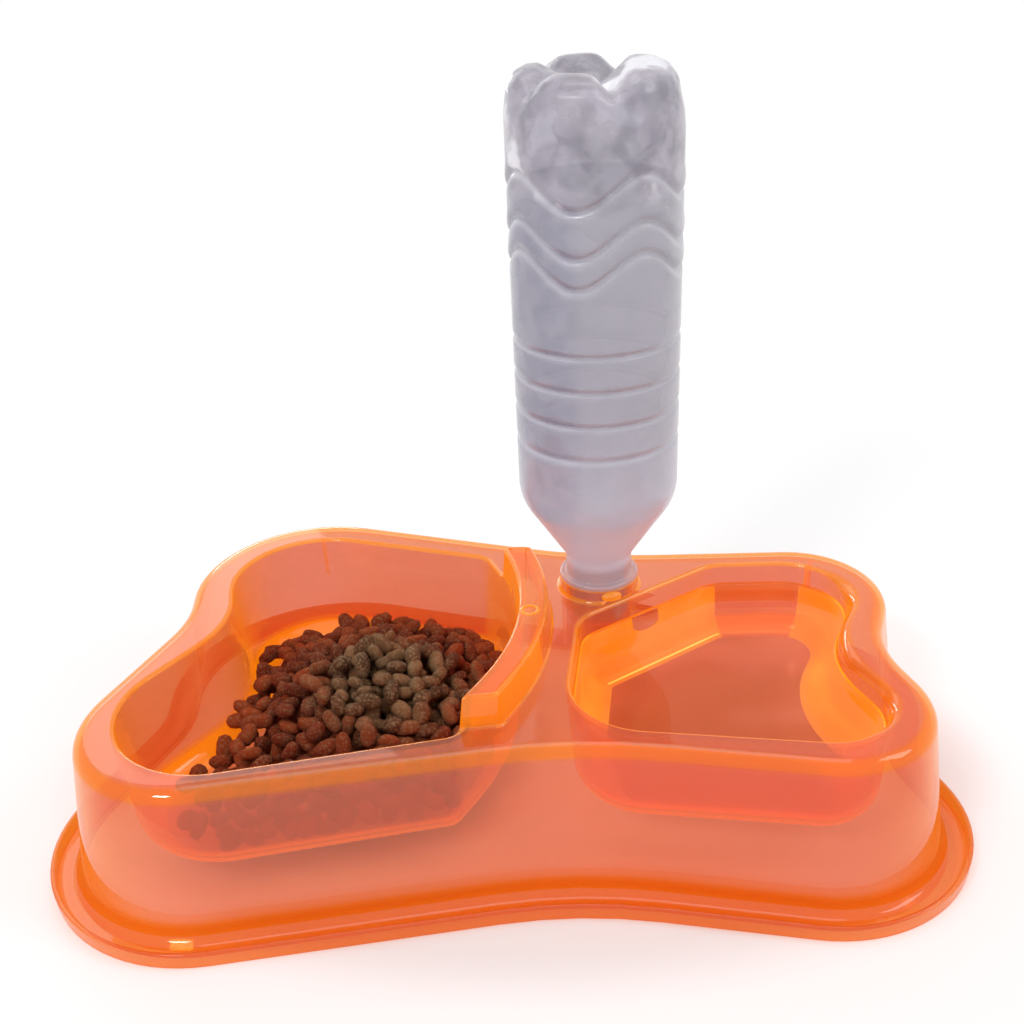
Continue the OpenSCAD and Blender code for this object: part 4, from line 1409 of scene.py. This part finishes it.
# %% [markdown]
# ## Stage and light
#
# A pale floor keeps the soft shadow. The camera, mirrors and windows see a white room, while the
# lamps stay at a level where a colour looks as it was mixed.

# %% Lay the floor
FLOOR_HALF_MM = 12000.0
PAPER = (0.88, 0.88, 0.88, 1)
ROOM_FOR_MATT, ROOM_FOR_EYE = 0.6, 1.0


def stage_floor():
    """Matt paper, lifted a little outside the tray's shadow, and plain white further away.

    The distance is that of a point squeezed by (5.3, 8.0), so that 1 lies on an oval round the tray."""
    half = FLOOR_HALF_MM
    corners = [[-half, -half, 0], [half, -half, 0], [half, half, 0], [-half, half, 0]]
    floor = new_object("floor", corners, [[0, 1, 2, 3]])
    paint = new_paint("floor_paper")
    paper = paint.node("ShaderNodeBsdfDiffuse", {}, {"Color": PAPER})
    lift = paint.node("ShaderNodeEmission", {}, {"Color": WHITE, "Strength": 0.15})
    white = paint.node("ShaderNodeEmission", {}, {"Color": WHITE, "Strength": 1.0})
    lifted = paint.node("ShaderNodeAddShader", {}, {0: paper, 1: lift})
    values = {0: paint.place(), 1: (5.3, 8.0, 0)}
    squeezed = paint.node("ShaderNodeVectorMath", {"operation": "MULTIPLY"}, values, out="Vector")
    away = paint.node("ShaderNodeVectorMath", {"operation": "LENGTH"}, {0: squeezed}, out="Value")
    shown = paint.blend(away.ramp(0.85, 1.1), paper, lifted)
    shown = paint.blend(away.ramp(1.8, 4.0), shown, white)
    seen = paint.ray("Camera", "Glossy", "Transmission")
    floor.data.materials.append(paint.done(paint.blend(seen, paper, shown)))


stage_floor()

# %% Light the room


def room_light():
    """A white room for the camera, mirrors and windows, and a softer grey one for matt surfaces."""
    world = bpy.data.worlds.new("room")
    bpy.context.scene.world = world
    paint = Paint(world)
    seen = paint.ray("Camera", "Glossy", "Transmission")
    strength = seen * (ROOM_FOR_EYE - ROOM_FOR_MATT) + ROOM_FOR_MATT
    back = paint.node("ShaderNodeBackground", {}, {"Color": WHITE, "Strength": strength})
    paint.done(back, output="ShaderNodeOutputWorld")


room_light()

# %% Set the lamps


def softbox(name, place, aim, size, watts):
    """A square lamp that faces a point and isn't seen itself."""
    data = bpy.data.lights.new(name, "AREA")
    data.shape = "RECTANGLE"
    data.size, data.size_y = size
    data.energy = watts
    lamp = bpy.data.objects.new(name, data)
    lamp.visible_camera = False
    bpy.context.collection.objects.link(lamp)
    away = np.array(place, float) - np.array(aim, float)
    away /= np.linalg.norm(away)
    side = np.cross([0.0, 0.0, 1.0], away)
    side /= np.linalg.norm(side)
    lamp.matrix_world = placed(side, np.cross(away, side), away, place)


# Name, place and the point it faces in metres, size in metres, power in watts.
LAMPS = (
    ("key", (-0.55, -0.9, 1.15), (0, 0, 0.05), (0.30, 0.20), 4.5),
    ("window", (0.95, -0.1, 0.9), (0, 0, 0.08), (0.35, 0.6), 2.5),
    ("back_window", (-0.62, 0.86, 0.76), (-0.1, 0, 0.06), (0.7, 0.5), 1.5),
    ("low_strip", (-0.38, 0.85, 0.26), (0.15, 0.02, 0.06), (0.35, 0.10), 0.9),
    ("ceiling", (0.0, 0.1, 1.5), (0, 0, 0.05), (0.9, 0.6), 3.0),
)
for lamp in LAMPS:
    softbox(*lamp)

# %% Colours come out as mixed
scene = bpy.context.scene
scene.view_settings.view_transform = "Standard"
scene.cycles.transparent_max_bounces = 32
scene.cycles.max_bounces = 5
